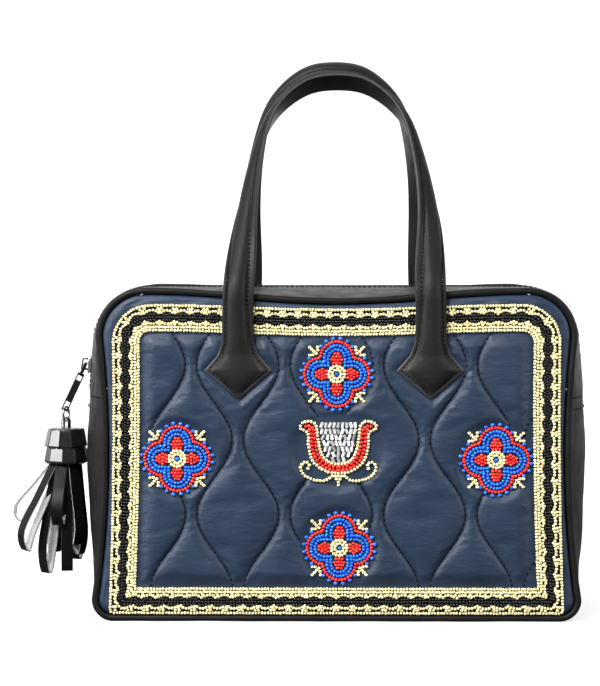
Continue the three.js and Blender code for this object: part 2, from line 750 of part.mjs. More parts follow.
// Tassel with its origin at the middle of the top of its head
function tassel(ringBottom) {
  const profile = HEAD_PROFILE.map(({ radius, down }) => new THREE.Vector2(radius, -down));
  const head = new THREE.LatheGeometry(profile, HEAD_SIDES).rotateX(Math.PI / 2);
  const foot = HEAD_PROFILE.at(-1).down;
  const loops = LOOPS.map(({ turn, reach, drop }) => {
    const angle = THREE.MathUtils.degToRad(turn);
    const outwards = new THREE.Vector3(-Math.cos(angle), -Math.sin(angle), 0);
    const path = [
      { away: 8.6, down: foot - 1.2 },
      { away: lerp(8.6, reach, 0.5), down: foot + 0.36 * drop },
      { away: reach, down: foot + 0.76 * drop },
      { away: reach - 3.4, down: foot + drop },
      { away: reach - 8, down: foot + 0.78 * drop },
      { away: lerp(3, reach - 8, 0.4), down: foot + 0.3 * drop },
      { away: 3, down: foot - 1.2 },
    ];
    return strip(path, outwards, STRIP);
  });
  const hangerTop = ringBottom + HANGER.clear + HANGER.thick / 2 - HEAD_TOP;
  const hanger = strip(
    [
      { away: HANGER.half, down: 1 },
      { away: HANGER.half, down: HANGER.half - hangerTop },
      { away: 0, down: -hangerTop },
      { away: -HANGER.half, down: HANGER.half - hangerTop },
      { away: -HANGER.half, down: 1 },
    ],
    Y.clone().applyAxisAngle(Z, RING_TURN),
    HANGER,
  );
  return joined(head, hanger, ...loops);
}

const bag = new THREE.Group();

function add(name, geometry, finish, parent = bag) {
  const mesh = new THREE.Mesh(geometry, new THREE.MeshStandardMaterial(finish));
  mesh.name = name;
  parent.add(mesh);
  return mesh;
}

const tabs = [-1, 1].map((side) => ({ x: side * HANDLE_OUT, z: TAB_MIDDLE, press: TAB_PRESS }));
const sewnOn = [...ROSETTES.map((spot) => ({ ...spot, press: ROSETTE_PRESS })), MOTIF, ...tabs];

// The back half is the front half turned about the vertical axis.
const backHalf = new THREE.Group();
backHalf.rotation.z = Math.PI;
bag.add(backHalf);

add("panel_front", panel(sewnOn, FRONT_STEP), NAVY);
add("panel_back", panel(tabs, BACK_STEP), NAVY, backHalf);
add("piping_front", piping(), BLACK);
add("piping_back", piping(), BLACK, backHalf);
add("gusset_base", gussetBase(), BLACK);
add("gusset_top_front", gussetTop(), BLACK);
add("gusset_top_back", gussetTop(), BLACK, backHalf);
add("handle_front", handle(FRONT_LEAN, FRONT_SWAY), BLACK).position.x = FRONT_SHIFT;
add("handle_back", handle(BACK_LEAN, BACK_SWAY), BLACK, backHalf);

add("bead_border", beadBorder(), CREAM);
for (const { name, x, z } of ROSETTES) {
  add(`bead_rosette_${name}`, rosette(), BLUE).position.set(x, -SEWN_ON, z);
}
add("bead_motif", motif(), RED).position.set(MOTIF.x, -SEWN_ON, MOTIF.z);

add("zip", zip(), TAPE_CLOTH);

// The slider sits on the teeth at the left end of the zip, square to the bulging gusset.
function sliderSeat(z) {
  return SEAM.side(z) + gussetOffset({ z, dip: 0 }, 0) + TEETH_RISE - LEATHER;
}
const sliderTilt = Math.atan(sliderSeat(SLIDER.height + 1) - sliderSeat(SLIDER.height));
const sliderGroup = new THREE.Group();
sliderGroup.position.set(-sliderSeat(SLIDER.height), 0, SLIDER.height);
sliderGroup.rotation.y = -sliderTilt;
bag.add(sliderGroup);
add("zip_slider", slider(), CHROME, sliderGroup);

// The pull hangs from the slider's bridge and leans out; its ring and tassel hang straight down.
const pivotOut = SLIDER.plate + PIVOT_RISE;
const pivot = new THREE.Vector3(-pivotOut, 0, 0).applyAxisAngle(Y, -sliderTilt).add(sliderGroup.position);
const pullGroup = new THREE.Group();
pullGroup.position.copy(pivot);
bag.add(pullGroup);
add("pull_bar", pullBar(), CHROME, pullGroup).rotation.y = PULL_LEAN;

const ringTop = new THREE.Vector3(0, 0, -PULL.length - RING.hang).applyAxisAngle(Y, PULL_LEAN);
const ringMiddle = ringTop.addScaledVector(Z, -RING.radius);
const ring = new THREE.TorusGeometry(RING.radius, RING.wire, 6, 18).rotateX(Math.PI / 2).rotateZ(RING_TURN);
add("pull_ring", ring, CHROME, pullGroup).position.copy(ringMiddle);

const ringBottom = pivot.z + ringMiddle.z - RING.radius;
add("tassel", tassel(ringBottom), PATENT, pullGroup).position.set(ringMiddle.x, 0, HEAD_TOP - pivot.z);

export default bag;
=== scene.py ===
"""Quilted leather handbag with a beaded front: its looks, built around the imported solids."""

import logging
import math
from dataclasses import dataclass, field
from enum import Enum
from typing import Any, Optional, Sequence

import bmesh
import bpy
import numpy as np
from mathutils import Matrix, Vector


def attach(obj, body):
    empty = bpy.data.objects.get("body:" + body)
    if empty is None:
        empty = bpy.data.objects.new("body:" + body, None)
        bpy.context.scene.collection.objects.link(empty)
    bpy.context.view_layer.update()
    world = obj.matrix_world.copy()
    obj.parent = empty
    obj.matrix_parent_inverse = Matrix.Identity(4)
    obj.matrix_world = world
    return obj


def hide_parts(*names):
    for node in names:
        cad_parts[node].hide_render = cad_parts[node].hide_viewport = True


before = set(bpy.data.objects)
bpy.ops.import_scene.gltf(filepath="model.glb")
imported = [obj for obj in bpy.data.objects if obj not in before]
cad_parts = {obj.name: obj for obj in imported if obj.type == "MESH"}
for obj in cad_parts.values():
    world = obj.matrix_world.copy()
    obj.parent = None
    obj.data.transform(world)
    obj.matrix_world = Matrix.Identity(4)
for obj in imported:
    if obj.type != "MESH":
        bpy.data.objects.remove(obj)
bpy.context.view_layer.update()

LOG = logging.getLogger("handbag")
MM = 0.001
UP = np.array([0.0, 0.0, 1.0])
BAG = "bag"
PULL = "zip_pull"

Array = np.ndarray
Faces = list[tuple[int, ...]]
Station = tuple[Array, Array, Array, tuple[float, ...]]
Colour = tuple[float, float, float, float]
Grain = tuple[float, float, float]


class Slot(Enum):
    """Material slots of the record."""

    NAVY = "navy_leather"
    BLACK = "black_leather"
    PATENT = "patent_leather"
    TAPE = "zip_tape"
    METAL = "bright_metal"
    CREAM_BEADS = "cream_beads"
    BLUE_BEADS = "blue_beads"
    RED_BEADS = "red_beads"
    BLACK_BEADS = "black_beads"
    CLEAR_BEADS = "clear_beads"


class Face(Enum):
    """The two large sides of the bag, by the turn that leads there from the front."""

    FRONT = 1.0
    BACK = -1.0

    def turn(self, points: Array) -> Array:
        """Points of the front half, turned about the vertical axis where the side is the back."""
        return np.asarray(points) * np.array([self.value, self.value, 1.0])

    @property
    def label(self) -> str:
        """The side's name as pieces use it."""
        return self.name.lower()


def smoothstep(value: Any, low: float, high: float) -> Any:
    """Smooth rise from 0 at low to 1 at high."""
    share = np.clip((np.asarray(value, float) - low) / (high - low), 0.0, 1.0)
    return share * share * (3.0 - 2.0 * share)


def lerp(start: Any, end: Any, share: Any) -> Any:
    """The value that lies a share of the way from start to end."""
    return start + (end - start) * share


def spline(points: Sequence[Sequence[float]], count: int, closed: bool = False) -> Array:
    """Evenly spaced places on a smooth curve through points.

    Args:
        points: Places that the curve passes through.
        count: How many places to give back.
        closed: Whether the curve returns to its first point.

    Returns:
        An array of count places.
    """
    knots = np.asarray(points, float)
    if closed:
        padded = np.vstack([knots[-1], knots, knots[0], knots[1]])
    else:
        padded = np.vstack([knots[0], knots, knots[-1]])
    steps = np.linspace(0.0, 1.0, 30, endpoint=False)[:, None]
    spans = []
    for before, start, end, after in zip(padded, padded[1:], padded[2:], padded[3:]):
        out, back = (end - before) / 2, (after - start) / 2
        cubic = 2 * start - 2 * end + out + back
        square = -3 * start + 3 * end - 2 * out - back
        spans.append(cubic * steps**3 + square * steps**2 + out * steps + start)
    dense = np.vstack([*spans, padded[-2][None]])
    return resample(dense, count, endpoint=not closed)


def resample(points: Array, count: int, endpoint: bool = True) -> Array:
    """Evenly spaced places along a polyline.

    Args:
        points: The polyline.
        count: How many places to give back.
        endpoint: Whether the last place is the polyline's end.

    Returns:
        An array of count places.
    """
    lengths = arc_lengths(points)
    wanted = np.linspace(0.0, lengths[-1], count, endpoint=endpoint)
    return np.stack([np.interp(wanted, lengths, column) for column in points.T], axis=1)


def arc_lengths(points: Array) -> Array:
    """Distance along a polyline at each of its points."""
    steps = np.linalg.norm(np.diff(points, axis=0), axis=1)
    return np.concatenate([[0.0], np.cumsum(steps)])


def directions(points: Array) -> Array:
    """Unit direction of travel at each point of a polyline."""
    run = np.gradient(points, axis=0)
    return run / np.maximum(np.linalg.norm(run, axis=1, keepdims=True), 1e-9)


def ripples(places: Array, wave: float, seed: int, count: int = 14) -> Array:
    """A smooth random field of about unit height, the same each run.

    Args:
        places: Points of two or three coordinates.
        wave: Typical distance from crest to crest.
        seed: Seed of the random directions and phases.
        count: Number of plane waves that are summed.

    Returns:
        One value for each point.
    """
    draw = np.random.default_rng(seed)
    aims = draw.normal(size=(count, places.shape[1]))
    aims /= np.linalg.norm(aims, axis=1, keepdims=True)
    scales = 2 * math.pi / (wave * draw.uniform(0.6, 1.7, count))
    phases = draw.uniform(0, 2 * math.pi, count)
    total = np.sin(places @ (aims * scales[:, None]).T + phases).sum(axis=1)
    return total / math.sqrt(count / 2)


def eased(count: int, ease: float, endpoint: bool = True) -> Array:
    """Shares from 0 to 1 that lie closer together towards both ends."""
    share = np.linspace(0, 1, count, endpoint=endpoint)
    return lerp(share, (1 - np.cos(np.pi * share)) / 2, ease)


def spun(places: Any, turn: float) -> Array:
    """Flat places, turned about the origin."""
    out, up = math.cos(turn), math.sin(turn)
    return np.asarray(places, float) @ np.array([[out, up], [-up, out]])


def grid_faces(rows: int, columns: int) -> Faces:
    """Quads between points that stand in rows and columns."""
    index = np.arange(rows * columns).reshape(rows, columns)
    quads = np.stack([index[:-1, :-1], index[:-1, 1:], index[1:, 1:], index[1:, :-1]], axis=-1)
    return [tuple(quad) for quad in quads.reshape(-1, 4).tolist()]


def band_faces(stations: int, around: int, closed: bool = False) -> Faces:
    """Quads round a tube, whose last section may join its first."""
    spans = stations if closed else stations - 1
    first = np.repeat(np.arange(spans), around)
    point = np.tile(np.arange(around), spans)
    after = (point + 1) % around
    second = (first + 1) % stations
    quads = np.stack([first * around + point, first * around + after,
                      second * around + after, second * around + point], axis=1)
    return [tuple(quad) for quad in quads.tolist()]


def shell_faces(stations: int, around: int, closed: bool) -> Faces:
    """Faces of a tube through sections whose second half runs back over the first.

    Args:
        stations: Number of sections.
        around: Points in each section, an even number.
        closed: Whether the last section joins the first; otherwise both ends are capped.

    Returns:
        The faces.
    """
    faces = band_faces(stations, around, closed)
    if not closed:
        end = (stations - 1) * around
        for i in range(around // 2 - 1):
            strip = (i, i + 1, around - 2 - i, around - 1 - i)
            faces.append(strip[::-1])
            faces.append(tuple(end + corner for corner in strip))
    return faces


def linked(name: str, data: bpy.types.ID) -> bpy.types.Object:
    """An object that is linked to the scene."""
    made = bpy.data.objects.new(name, data)
    bpy.context.scene.collection.objects.link(made)
    return made


def aim_at(piece: bpy.types.Object, spot: Sequence[float], aim: Sequence[float]) -> None:
    """Stands a light or a camera at a spot and turns it to look at a place."""
    piece.location = spot
    piece.rotation_euler = (Vector(aim) - Vector(spot)).to_track_quat("-Z", "Y").to_euler()


def applied(piece: bpy.types.Object, modifier: bpy.types.Modifier) -> bpy.types.Mesh:
    """What a modifier makes of a piece, as its new plain mesh."""
    bpy.context.view_layer.update()
    graph = bpy.context.evaluated_depsgraph_get()
    mesh = bpy.data.meshes.new_from_object(piece.evaluated_get(graph))
    piece.modifiers.remove(modifier)
    old = piece.data
    piece.data = mesh
    bpy.data.meshes.remove(old)
    mesh.name = piece.name
    return mesh


def new_object(name: str, vertices: Array, faces: Faces, sharp: float = 60.0) -> bpy.types.Object:
    """A mesh object with smooth faces that point outwards.

    Args:
        name: Name of the object.
        vertices: Places in millimetres.
        faces: Corners of each face.
        sharp: Angle in degrees above which an edge shows.

    Returns:
        The object, linked to the scene.
    """
    mesh = bpy.data.meshes.new(name)
    mesh.from_pydata((np.asarray(vertices, float) * MM).tolist(), [], faces)
    shape = bmesh.new()
    shape.from_mesh(mesh)
    bmesh.ops.recalc_face_normals(shape, faces=shape.faces)
    shape.to_mesh(mesh)
    shape.free()
    mesh.shade_smooth()
    mesh.set_sharp_from_angle(angle=math.radians(sharp))
    return linked(name, mesh)


def tube_object(name: str, sections: Array, closed: bool = False, sharp: float = 60.0) -> bpy.types.Object:
    """A closed mesh object lofted through sections.

    Args:
        name: Name of the object.
        sections: Array of sections, points and coordinates, in millimetres.
        closed: Whether the last section joins the first.
        sharp: Angle in degrees above which an edge shows.

    Returns:
        The object.
    """
    stations, around = sections.shape[:2]
    return new_object(name, sections.reshape(-1, 3), shell_faces(stations, around, closed), sharp)


def joined(name: str, pieces: Sequence[bpy.types.Object]) -> bpy.types.Object:
    """One object made of several.

    Args:
        name: Name of the new object.
        pieces: Objects that are used up.

    Returns:
        The object that holds all their faces.
    """
    shape = bmesh.new()
    for piece in pieces:
        shape.from_mesh(piece.data)
        drop(piece)
    mesh = bpy.data.meshes.new(name)
    shape.to_mesh(mesh)
    shape.free()
    return linked(name, mesh)


def drop(piece: bpy.types.Object) -> None:
    """Removes an object and its mesh."""
    mesh = piece.data
    bpy.data.objects.remove(piece)
    bpy.data.meshes.remove(mesh)


def place(
    piece: bpy.types.Object,
    nodes: Sequence[str],
    slot: Slot,
    material: Optional[bpy.types.Material] = None,
    body: str = BAG,
) -> bpy.types.Object:
    """Gives a finished piece its material and its body, and hides the solids it stands for.

    Args:
        piece: The finished mesh object.
        nodes: Solids that it stands for.
        slot: Slot of the record that its finish comes from; not used.
        material: Material to give it, or nothing where it has one.
        body: Body that it rides on.

    Returns:
        The piece.
    """
    if material is not None:
        piece.data.materials.clear()
        piece.data.materials.append(material)
    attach(piece, body)
    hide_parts(*nodes)
    triangles = sum(len(face.vertices) - 2 for face in piece.data.polygons)
    LOG.info("%s: %d triangles on %s", piece.name, triangles, body)
    return piece


class NodeWork:
    """A node tree, with short calls to add and link nodes."""

    def __init__(self, tree: bpy.types.NodeTree) -> None:
        """Keeps the tree."""
        self.tree = tree

    def add(self, kind: str, inputs: Optional[dict[Any, Any]] = None, **settings: Any) -> bpy.types.Node:
        """Adds a node.

        Args:
            kind: Node type.
            inputs: Values or output sockets for the node's inputs, by name or number.
            settings: Properties of the node.

        Returns:
            The node.
        """
        node = self.tree.nodes.new(kind)
        for name, value in settings.items():
            setattr(node, name, value)
        for key, value in (inputs or {}).items():
            self.feed(node.inputs[key], value)
        return node

    def feed(self, socket: bpy.types.NodeSocket, value: Any) -> None:
        """Links an output to a socket, or sets the socket to a value."""
        if isinstance(value, bpy.types.NodeSocket):
            self.tree.links.new(value, socket)
        else:
            socket.default_value = value


class Shading(NodeWork):
    """The node tree of a material."""

    NOISE_RANGE = (0.3, 0.7)

    def __init__(self, name: str) -> None:
        """Starts a material that has only its principled shader."""
        self.material = bpy.data.materials.new(name)
        self.material.use_nodes = True
        super().__init__(self.material.node_tree)
        self.shader = self.tree.nodes["Principled BSDF"]

    def set(self, **values: Any) -> None:
        """Sets or links inputs of the principled shader, with underscores for spaces in their names."""
        for name, value in values.items():
            self.feed(self.shader.inputs[name.replace("_", " ")], value)

    def place(self) -> bpy.types.NodeSocket:
        """The piece's own coordinates, in metres."""
        return self.add("ShaderNodeTexCoord").outputs["Object"]

    def noise(self, scale: float, detail: float = 3.0, rough: float = 0.5,
              place: Optional[bpy.types.NodeSocket] = None) -> bpy.types.NodeSocket:
        """Grey fractal noise of a scale per metre, at the piece's own places or at others."""
        at = self.place() if place is None else place
        inputs = {"Vector": at, "Scale": scale, "Detail": detail, "Roughness": rough}
        return self.add("ShaderNodeTexNoise", inputs).outputs["Fac"]

    def cells(self, scale: float) -> bpy.types.NodeSocket:
        """Distance field of random cells, of a scale per metre."""
        return self.add("ShaderNodeTexVoronoi", {"Vector": self.place(), "Scale": scale}).outputs["Distance"]

    def attribute(self, name: str) -> bpy.types.NodeSocket:
        """A number that the mesh carries on its points."""
        return self.add("ShaderNodeAttribute", attribute_name=name).outputs["Fac"]

    def ramp(self, value: Any, low: float, high: float, start: float, end: float) -> bpy.types.NodeSocket:
        """Maps a range of values onto another, clamped."""
        inputs = {"Value": value, "From Min": low, "From Max": high, "To Min": start, "To Max": end}
        return self.add("ShaderNodeMapRange", inputs).outputs["Result"]

    def spread(self, noise: bpy.types.NodeSocket, start: float = 0.0,
               end: float = 1.0) -> bpy.types.NodeSocket:
        """Maps the middle range of a noise onto other values."""
        return self.ramp(noise, *self.NOISE_RANGE, start, end)

    def smeared(self, middle: float, grain: Grain, detail: float = 3.0,
                rough: float = 0.5) -> bpy.types.NodeSocket:
        """A roughness about a middle value, from a grain of scale, lowest and highest change."""
        scale, low, high = grain
        return self.spread(self.noise(scale, detail, rough), middle + low, middle + high)

    def rippled(self, grain: Grain, detail: float = 3.0) -> bpy.types.NodeSocket:
        """A normal that is roughened by a grain of scale, depth and strength."""
        scale, depth, strength = grain
        return self.bump(self.noise(scale, detail), depth, strength)

    def wave(self, place: bpy.types.NodeSocket, scale: float, warp: float, way: str) -> bpy.types.NodeSocket:
        """Bands of a scale per metre across a direction, somewhat warped."""
        inputs = {"Vector": place, "Scale": scale, "Distortion": warp}
        return self.add("ShaderNodeTexWave", inputs, bands_direction=way).outputs["Fac"]

    def mix(self, share: Any, first: Any, second: Any) -> bpy.types.NodeSocket:
        """A colour between two colours."""
        return self.add("ShaderNodeMix", {0: share, 6: first, 7: second}, data_type="RGBA").outputs[2]

    def bump(self, height: bpy.types.NodeSocket, distance: float, strength: float = 1.0,
             under: Optional[bpy.types.NodeSocket] = None) -> bpy.types.NodeSocket:
        """A normal that is roughened by a height.

        Args:
            height: Height from 0 to 1.
            distance: What a height of 1 stands for, in metres.
            strength: Share of the bump that shows.
            under: Normal of a coarser bump, if any.

        Returns:
            The normal.
        """
        inputs = {"Height": height, "Distance": distance, "Strength": strength}
        if under is not None:
            inputs["Normal"] = under
        return self.add("ShaderNodeBump", inputs).outputs["Normal"]


def scaled(colour: Colour, factor: float) -> Colour:
    """A colour made lighter or darker by a factor."""
    return (*(factor * part for part in colour[:3]), 1.0)


@dataclass(frozen=True)
class LeatherFinish:
    """Dressed leather: fine grain, faint creases, and lighter cut edges, part edge colour and part painted
    highlight.
    """

    name: str
    colour: Colour
    lightened: Colour
    # Light grey mixed in where the pieces mark it: part the colour of the cut edge, part painted highlight on
    # edges, flanges and tab faces.
    edge: Colour = (0.2, 0.195, 0.185, 1)
    roughness: float = 0.42
    grain: float = 1500.0
    grain_depth: float = 0.00005
    crease_scale: float = 480.0
    crease_stretch: tuple[float, float, float] = (1.0, 1.0, 1.0)
    crease_depth: float = 0.0004
    relief: float = 0.6
    mottle: float = 38.0
    smear: Grain = (110.0, -0.07, 0.08)
    gloss: float = 0.3

    def material(self) -> bpy.types.Material:
        """The leather's material, which reads from the piece's points where the light edge colour goes: part edge
        colour, part painted highlight.
        """
        shading = Shading(self.name)
        shading.set(IOR=1.5, Specular_IOR_Level=self.gloss)
        dyed = shading.mix(shading.spread(shading.noise(self.mottle, 5.0, 0.6)), self.colour, self.lightened)
        stretch = {0: shading.place(), 1: self.crease_stretch}
        drawn = shading.add("ShaderNodeVectorMath", stretch, operation="MULTIPLY")
        wrinkles = shading.noise(self.crease_scale, 5.0, 0.6, drawn.outputs[0])
        creases = shading.bump(wrinkles, self.crease_depth, self.relief)
        # Mixes the light edge colour in by the per-point attribute: part cut-edge colour, part painted highlight.
        shading.set(Base_Color=shading.mix(shading.attribute("rub"), dyed, self.edge),
                    Roughness=shading.smeared(self.roughness, self.smear),
                    Normal=shading.bump(shading.cells(self.grain), self.grain_depth, self.relief, creases))
        return shading.material


@dataclass(frozen=True)
class PatentFinish:
    """Lacquered strip leather: black outside, pale along its cut edges and silvery inside."""

    name: str
    colour: Colour
    edge: Colour
    lining: Colour
    gloss: float = 0.3
    coat: float = 0.0
    coat_roughness: float = 0.05
    mottle: float = 60.0
    mottle_gain: float = 1.7
    lining_metal: float = 0.75
    smear: Grain = (140.0, 0.2, 0.32)
    ripple: Grain = (320.0, 0.00005, 0.25)

    def material(self) -> bpy.types.Material:
        """The material, which reads the strip's edge and lining from its points."""
        shading = Shading(self.name)
        shading.set(IOR=1.5, Specular_IOR_Level=self.gloss, Coat_Weight=self.coat,
                    Coat_Roughness=self.coat_roughness)
        cloudy = shading.spread(shading.noise(self.mottle))
        outside = shading.mix(cloudy, self.colour, scaled(self.colour, self.mottle_gain))
        lined = shading.mix(shading.attribute("lining"), outside, self.lining)
        shading.set(Base_Color=shading.mix(shading.attribute("edge"), lined, self.edge),
                    Metallic=shading.ramp(shading.attribute("lining"), 0.0, 1.0, 0.0, self.lining_metal),
                    Roughness=shading.smeared(0.0, self.smear), Normal=shading.rippled(self.ripple))
        return shading.material


@dataclass(frozen=True)
class BeadFinish:
    """Glass beads whose tone differs a little from bead to bead."""

    name: str
    colour: Colour
    other: Colour
    roughness: float = 0.22
    metallic: float = 0.0
    coat: float = 0.0
    gloss: float = 0.5
    spread: float = 0.5
    coat_roughness: float = 0.06
    smear: Grain = (900.0, -0.06, 0.08)
    ripple: Grain = (1400.0, 0.00008, 0.25)

    def material(self) -> bpy.types.Material:
        """The beads' material."""
        shading = Shading(self.name)
        shading.set(Metallic=self.metallic, IOR=1.5, Specular_IOR_Level=self.gloss, Coat_Weight=self.coat,
                    Coat_Roughness=self.coat_roughness)
        tone = shading.ramp(shading.attribute("tone"), 0.0, 1.0, 0.0, self.spread)
        shading.set(Base_Color=shading.mix(tone, self.colour, self.other),
                    Roughness=shading.smeared(self.roughness, self.smear, 2.0),
                    Normal=shading.rippled(self.ripple, 2.0))
        return shading.material


@dataclass(frozen=True)
class ThreadFinish:
    """Twisted sewing thread."""

    name: str
    colour: Colour
    light: Colour
    twist: float = 900.0
    twist_depth: float = 0.0001
    roughness: tuple[float, float] = (0.55, 0.8)

    def material(self) -> bpy.types.Material:
        """The thread's material."""
        shading = Shading(self.name)
        twist = shading.wave(shading.place(), self.twist, 2.0, "DIAGONAL")
        shading.set(Specular_IOR_Level=0.2,
                    Base_Color=shading.mix(shading.attribute("tone"), self.colour, self.light),
                    Roughness=shading.ramp(twist, 0.0, 1.0, *self.roughness),
                    Normal=shading.bump(twist, self.twist_depth, 0.5))
        return shading.material


@dataclass(frozen=True)
class TapeFinish:
    """Woven zip tape."""

    name: str
    colour: Colour
    weft: Colour
    pitch: float = 350.32
    depth: float = 0.0002
    roughness: tuple[float, float] = (0.75, 0.9)

    def material(self) -> bpy.types.Material:
        """The tape's material."""
        shading = Shading(self.name)
        place = shading.place()
        threads = {i: shading.wave(place, self.pitch, 0.4, way) for i, way in enumerate("XY")}
        weave = shading.add("ShaderNodeMath", threads, operation="MULTIPLY").outputs[0]
        shading.set(Base_Color=shading.mix(weave, self.colour, self.weft),
                    Roughness=shading.ramp(weave, 0.0, 1.0, *self.roughness),
                    Normal=shading.bump(weave, self.depth, 0.6))
        return shading.material


@dataclass(frozen=True)
class MetalFinish:
    """Plated metal with fine wear."""

    name: str
    colour: Colour
    roughness: float = 0.13
    smear: Grain = (260.0, -0.05, 0.09)
    wear_and_sheen: float = 0.82
    ripple: Grain = (2600.0, 0.00002, 0.25)

    def material(self) -> bpy.types.Material:
        """The metal's material."""
        shading = Shading(self.name)
        wear_and_sheen = shading.ramp(shading.noise(self.smear[0], 4.0, 0.6), 0.35, 0.75, 0.0, 1.0)
        shading.set(Metallic=1.0,
                    Base_Color=shading.mix(wear_and_sheen, self.colour, scaled(self.colour, self.wear_and_sheen)),
                    Roughness=shading.smeared(self.roughness, self.smear, 4.0, 0.6),
                    Normal=shading.rippled(self.ripple, 2.0))
        return shading.material


class Bead(Enum):
    """Kinds of bead, each with its finish and its slot."""

    CREAM = (BeadFinish("cream_glass", (0.88, 0.745, 0.37, 1), (0.96, 0.875, 0.53, 1), 0.2, spread=1.0),
             Slot.CREAM_BEADS)
    BLACK = (BeadFinish("black_glass", (0.001, 0.001, 0.0015, 1), (0.003, 0.003, 0.004, 1), 0.13, gloss=0.5),
             Slot.BLACK_BEADS)
    BLUE = (BeadFinish("blue_glass", (0.008, 0.13, 0.76, 1), (0.022, 0.21, 0.95, 1), 0.16, gloss=0.5, spread=0.9),
            Slot.BLUE_BEADS)
    RED = (BeadFinish("red_glass", (0.82, 0.018, 0.014, 1), (0.95, 0.05, 0.03, 1), 0.16, gloss=0.5, spread=0.9),
           Slot.RED_BEADS)
    CRYSTAL = (BeadFinish("silver_lined_glass", (0.95, 0.955, 0.95, 1), (0.30, 0.29, 0.27, 1), 0.12,
                          metallic=0.25, coat=1.0, spread=0.95), Slot.CLEAR_BEADS)

    def __init__(self, finish: BeadFinish, slot: Slot) -> None:
        """Keeps the finish and the slot."""
        self.finish = finish
        self.slot = slot


class Wardrobe:
    """The finishes of the bag, each made into a material once."""

    NAVY = LeatherFinish("navy_nappa", (0.0125, 0.0245, 0.049, 1), (0.020, 0.035, 0.066, 1), roughness=0.45,
                         crease_scale=330.0, crease_stretch=(0.4, 1.0, 1.0), crease_depth=0.0008)
    BLACK = LeatherFinish("black_nappa", (0.0070, 0.0068, 0.0068, 1), (0.0125, 0.012, 0.012, 1), roughness=0.42,
                          gloss=0.13)
    CUT = (0.42, 0.46, 0.49, 1)
    SILVER = (0.86, 0.87, 0.88, 1)
    PATENT = PatentFinish("patent", (0.003, 0.003, 0.0034, 1), CUT, SILVER, 0.12)
    LACQUER = PatentFinish("lacquer", (0.003, 0.003, 0.0035, 1), CUT, SILVER, 0.5, 1.0)
    TAPE = TapeFinish("zip_tape_weave", (0.008, 0.008, 0.010, 1), (0.03, 0.03, 0.035, 1))
    CHROME = MetalFinish("bright_plate", (0.80, 0.81, 0.82, 1))
    GUNMETAL = MetalFinish("dark_plate", (0.075, 0.075, 0.08, 1), 0.2)
    # Black felt under the bead border: part backing, part painted shade, as its black stands for the shade in the
    # gaps between the beads.
    BACKING = ThreadFinish("black_felt", (0.003, 0.003, 0.0035, 1), (0.006, 0.006, 0.007, 1))
    # Navy thread darker than the leather: part thread colour, part painted shade of the needle holes along the
    # quilting.
    NAVY_THREAD = ThreadFinish("navy_thread", (0.0015, 0.002, 0.005, 1), (0.003, 0.004, 0.009, 1))
    BLACK_THREAD = ThreadFinish("black_thread", (0.001, 0.001, 0.0012, 1), (0.003, 0.003, 0.0032, 1))

    def __init__(self) -> None:
        """Starts with no material made."""
        self.made: dict[str, bpy.types.Material] = {}

    def material(self, finish: Any) -> bpy.types.Material:
        """The material of a finish, made on first use."""
        if finish.name not in self.made:
            self.made[finish.name] = finish.material()
        return self.made[finish.name]


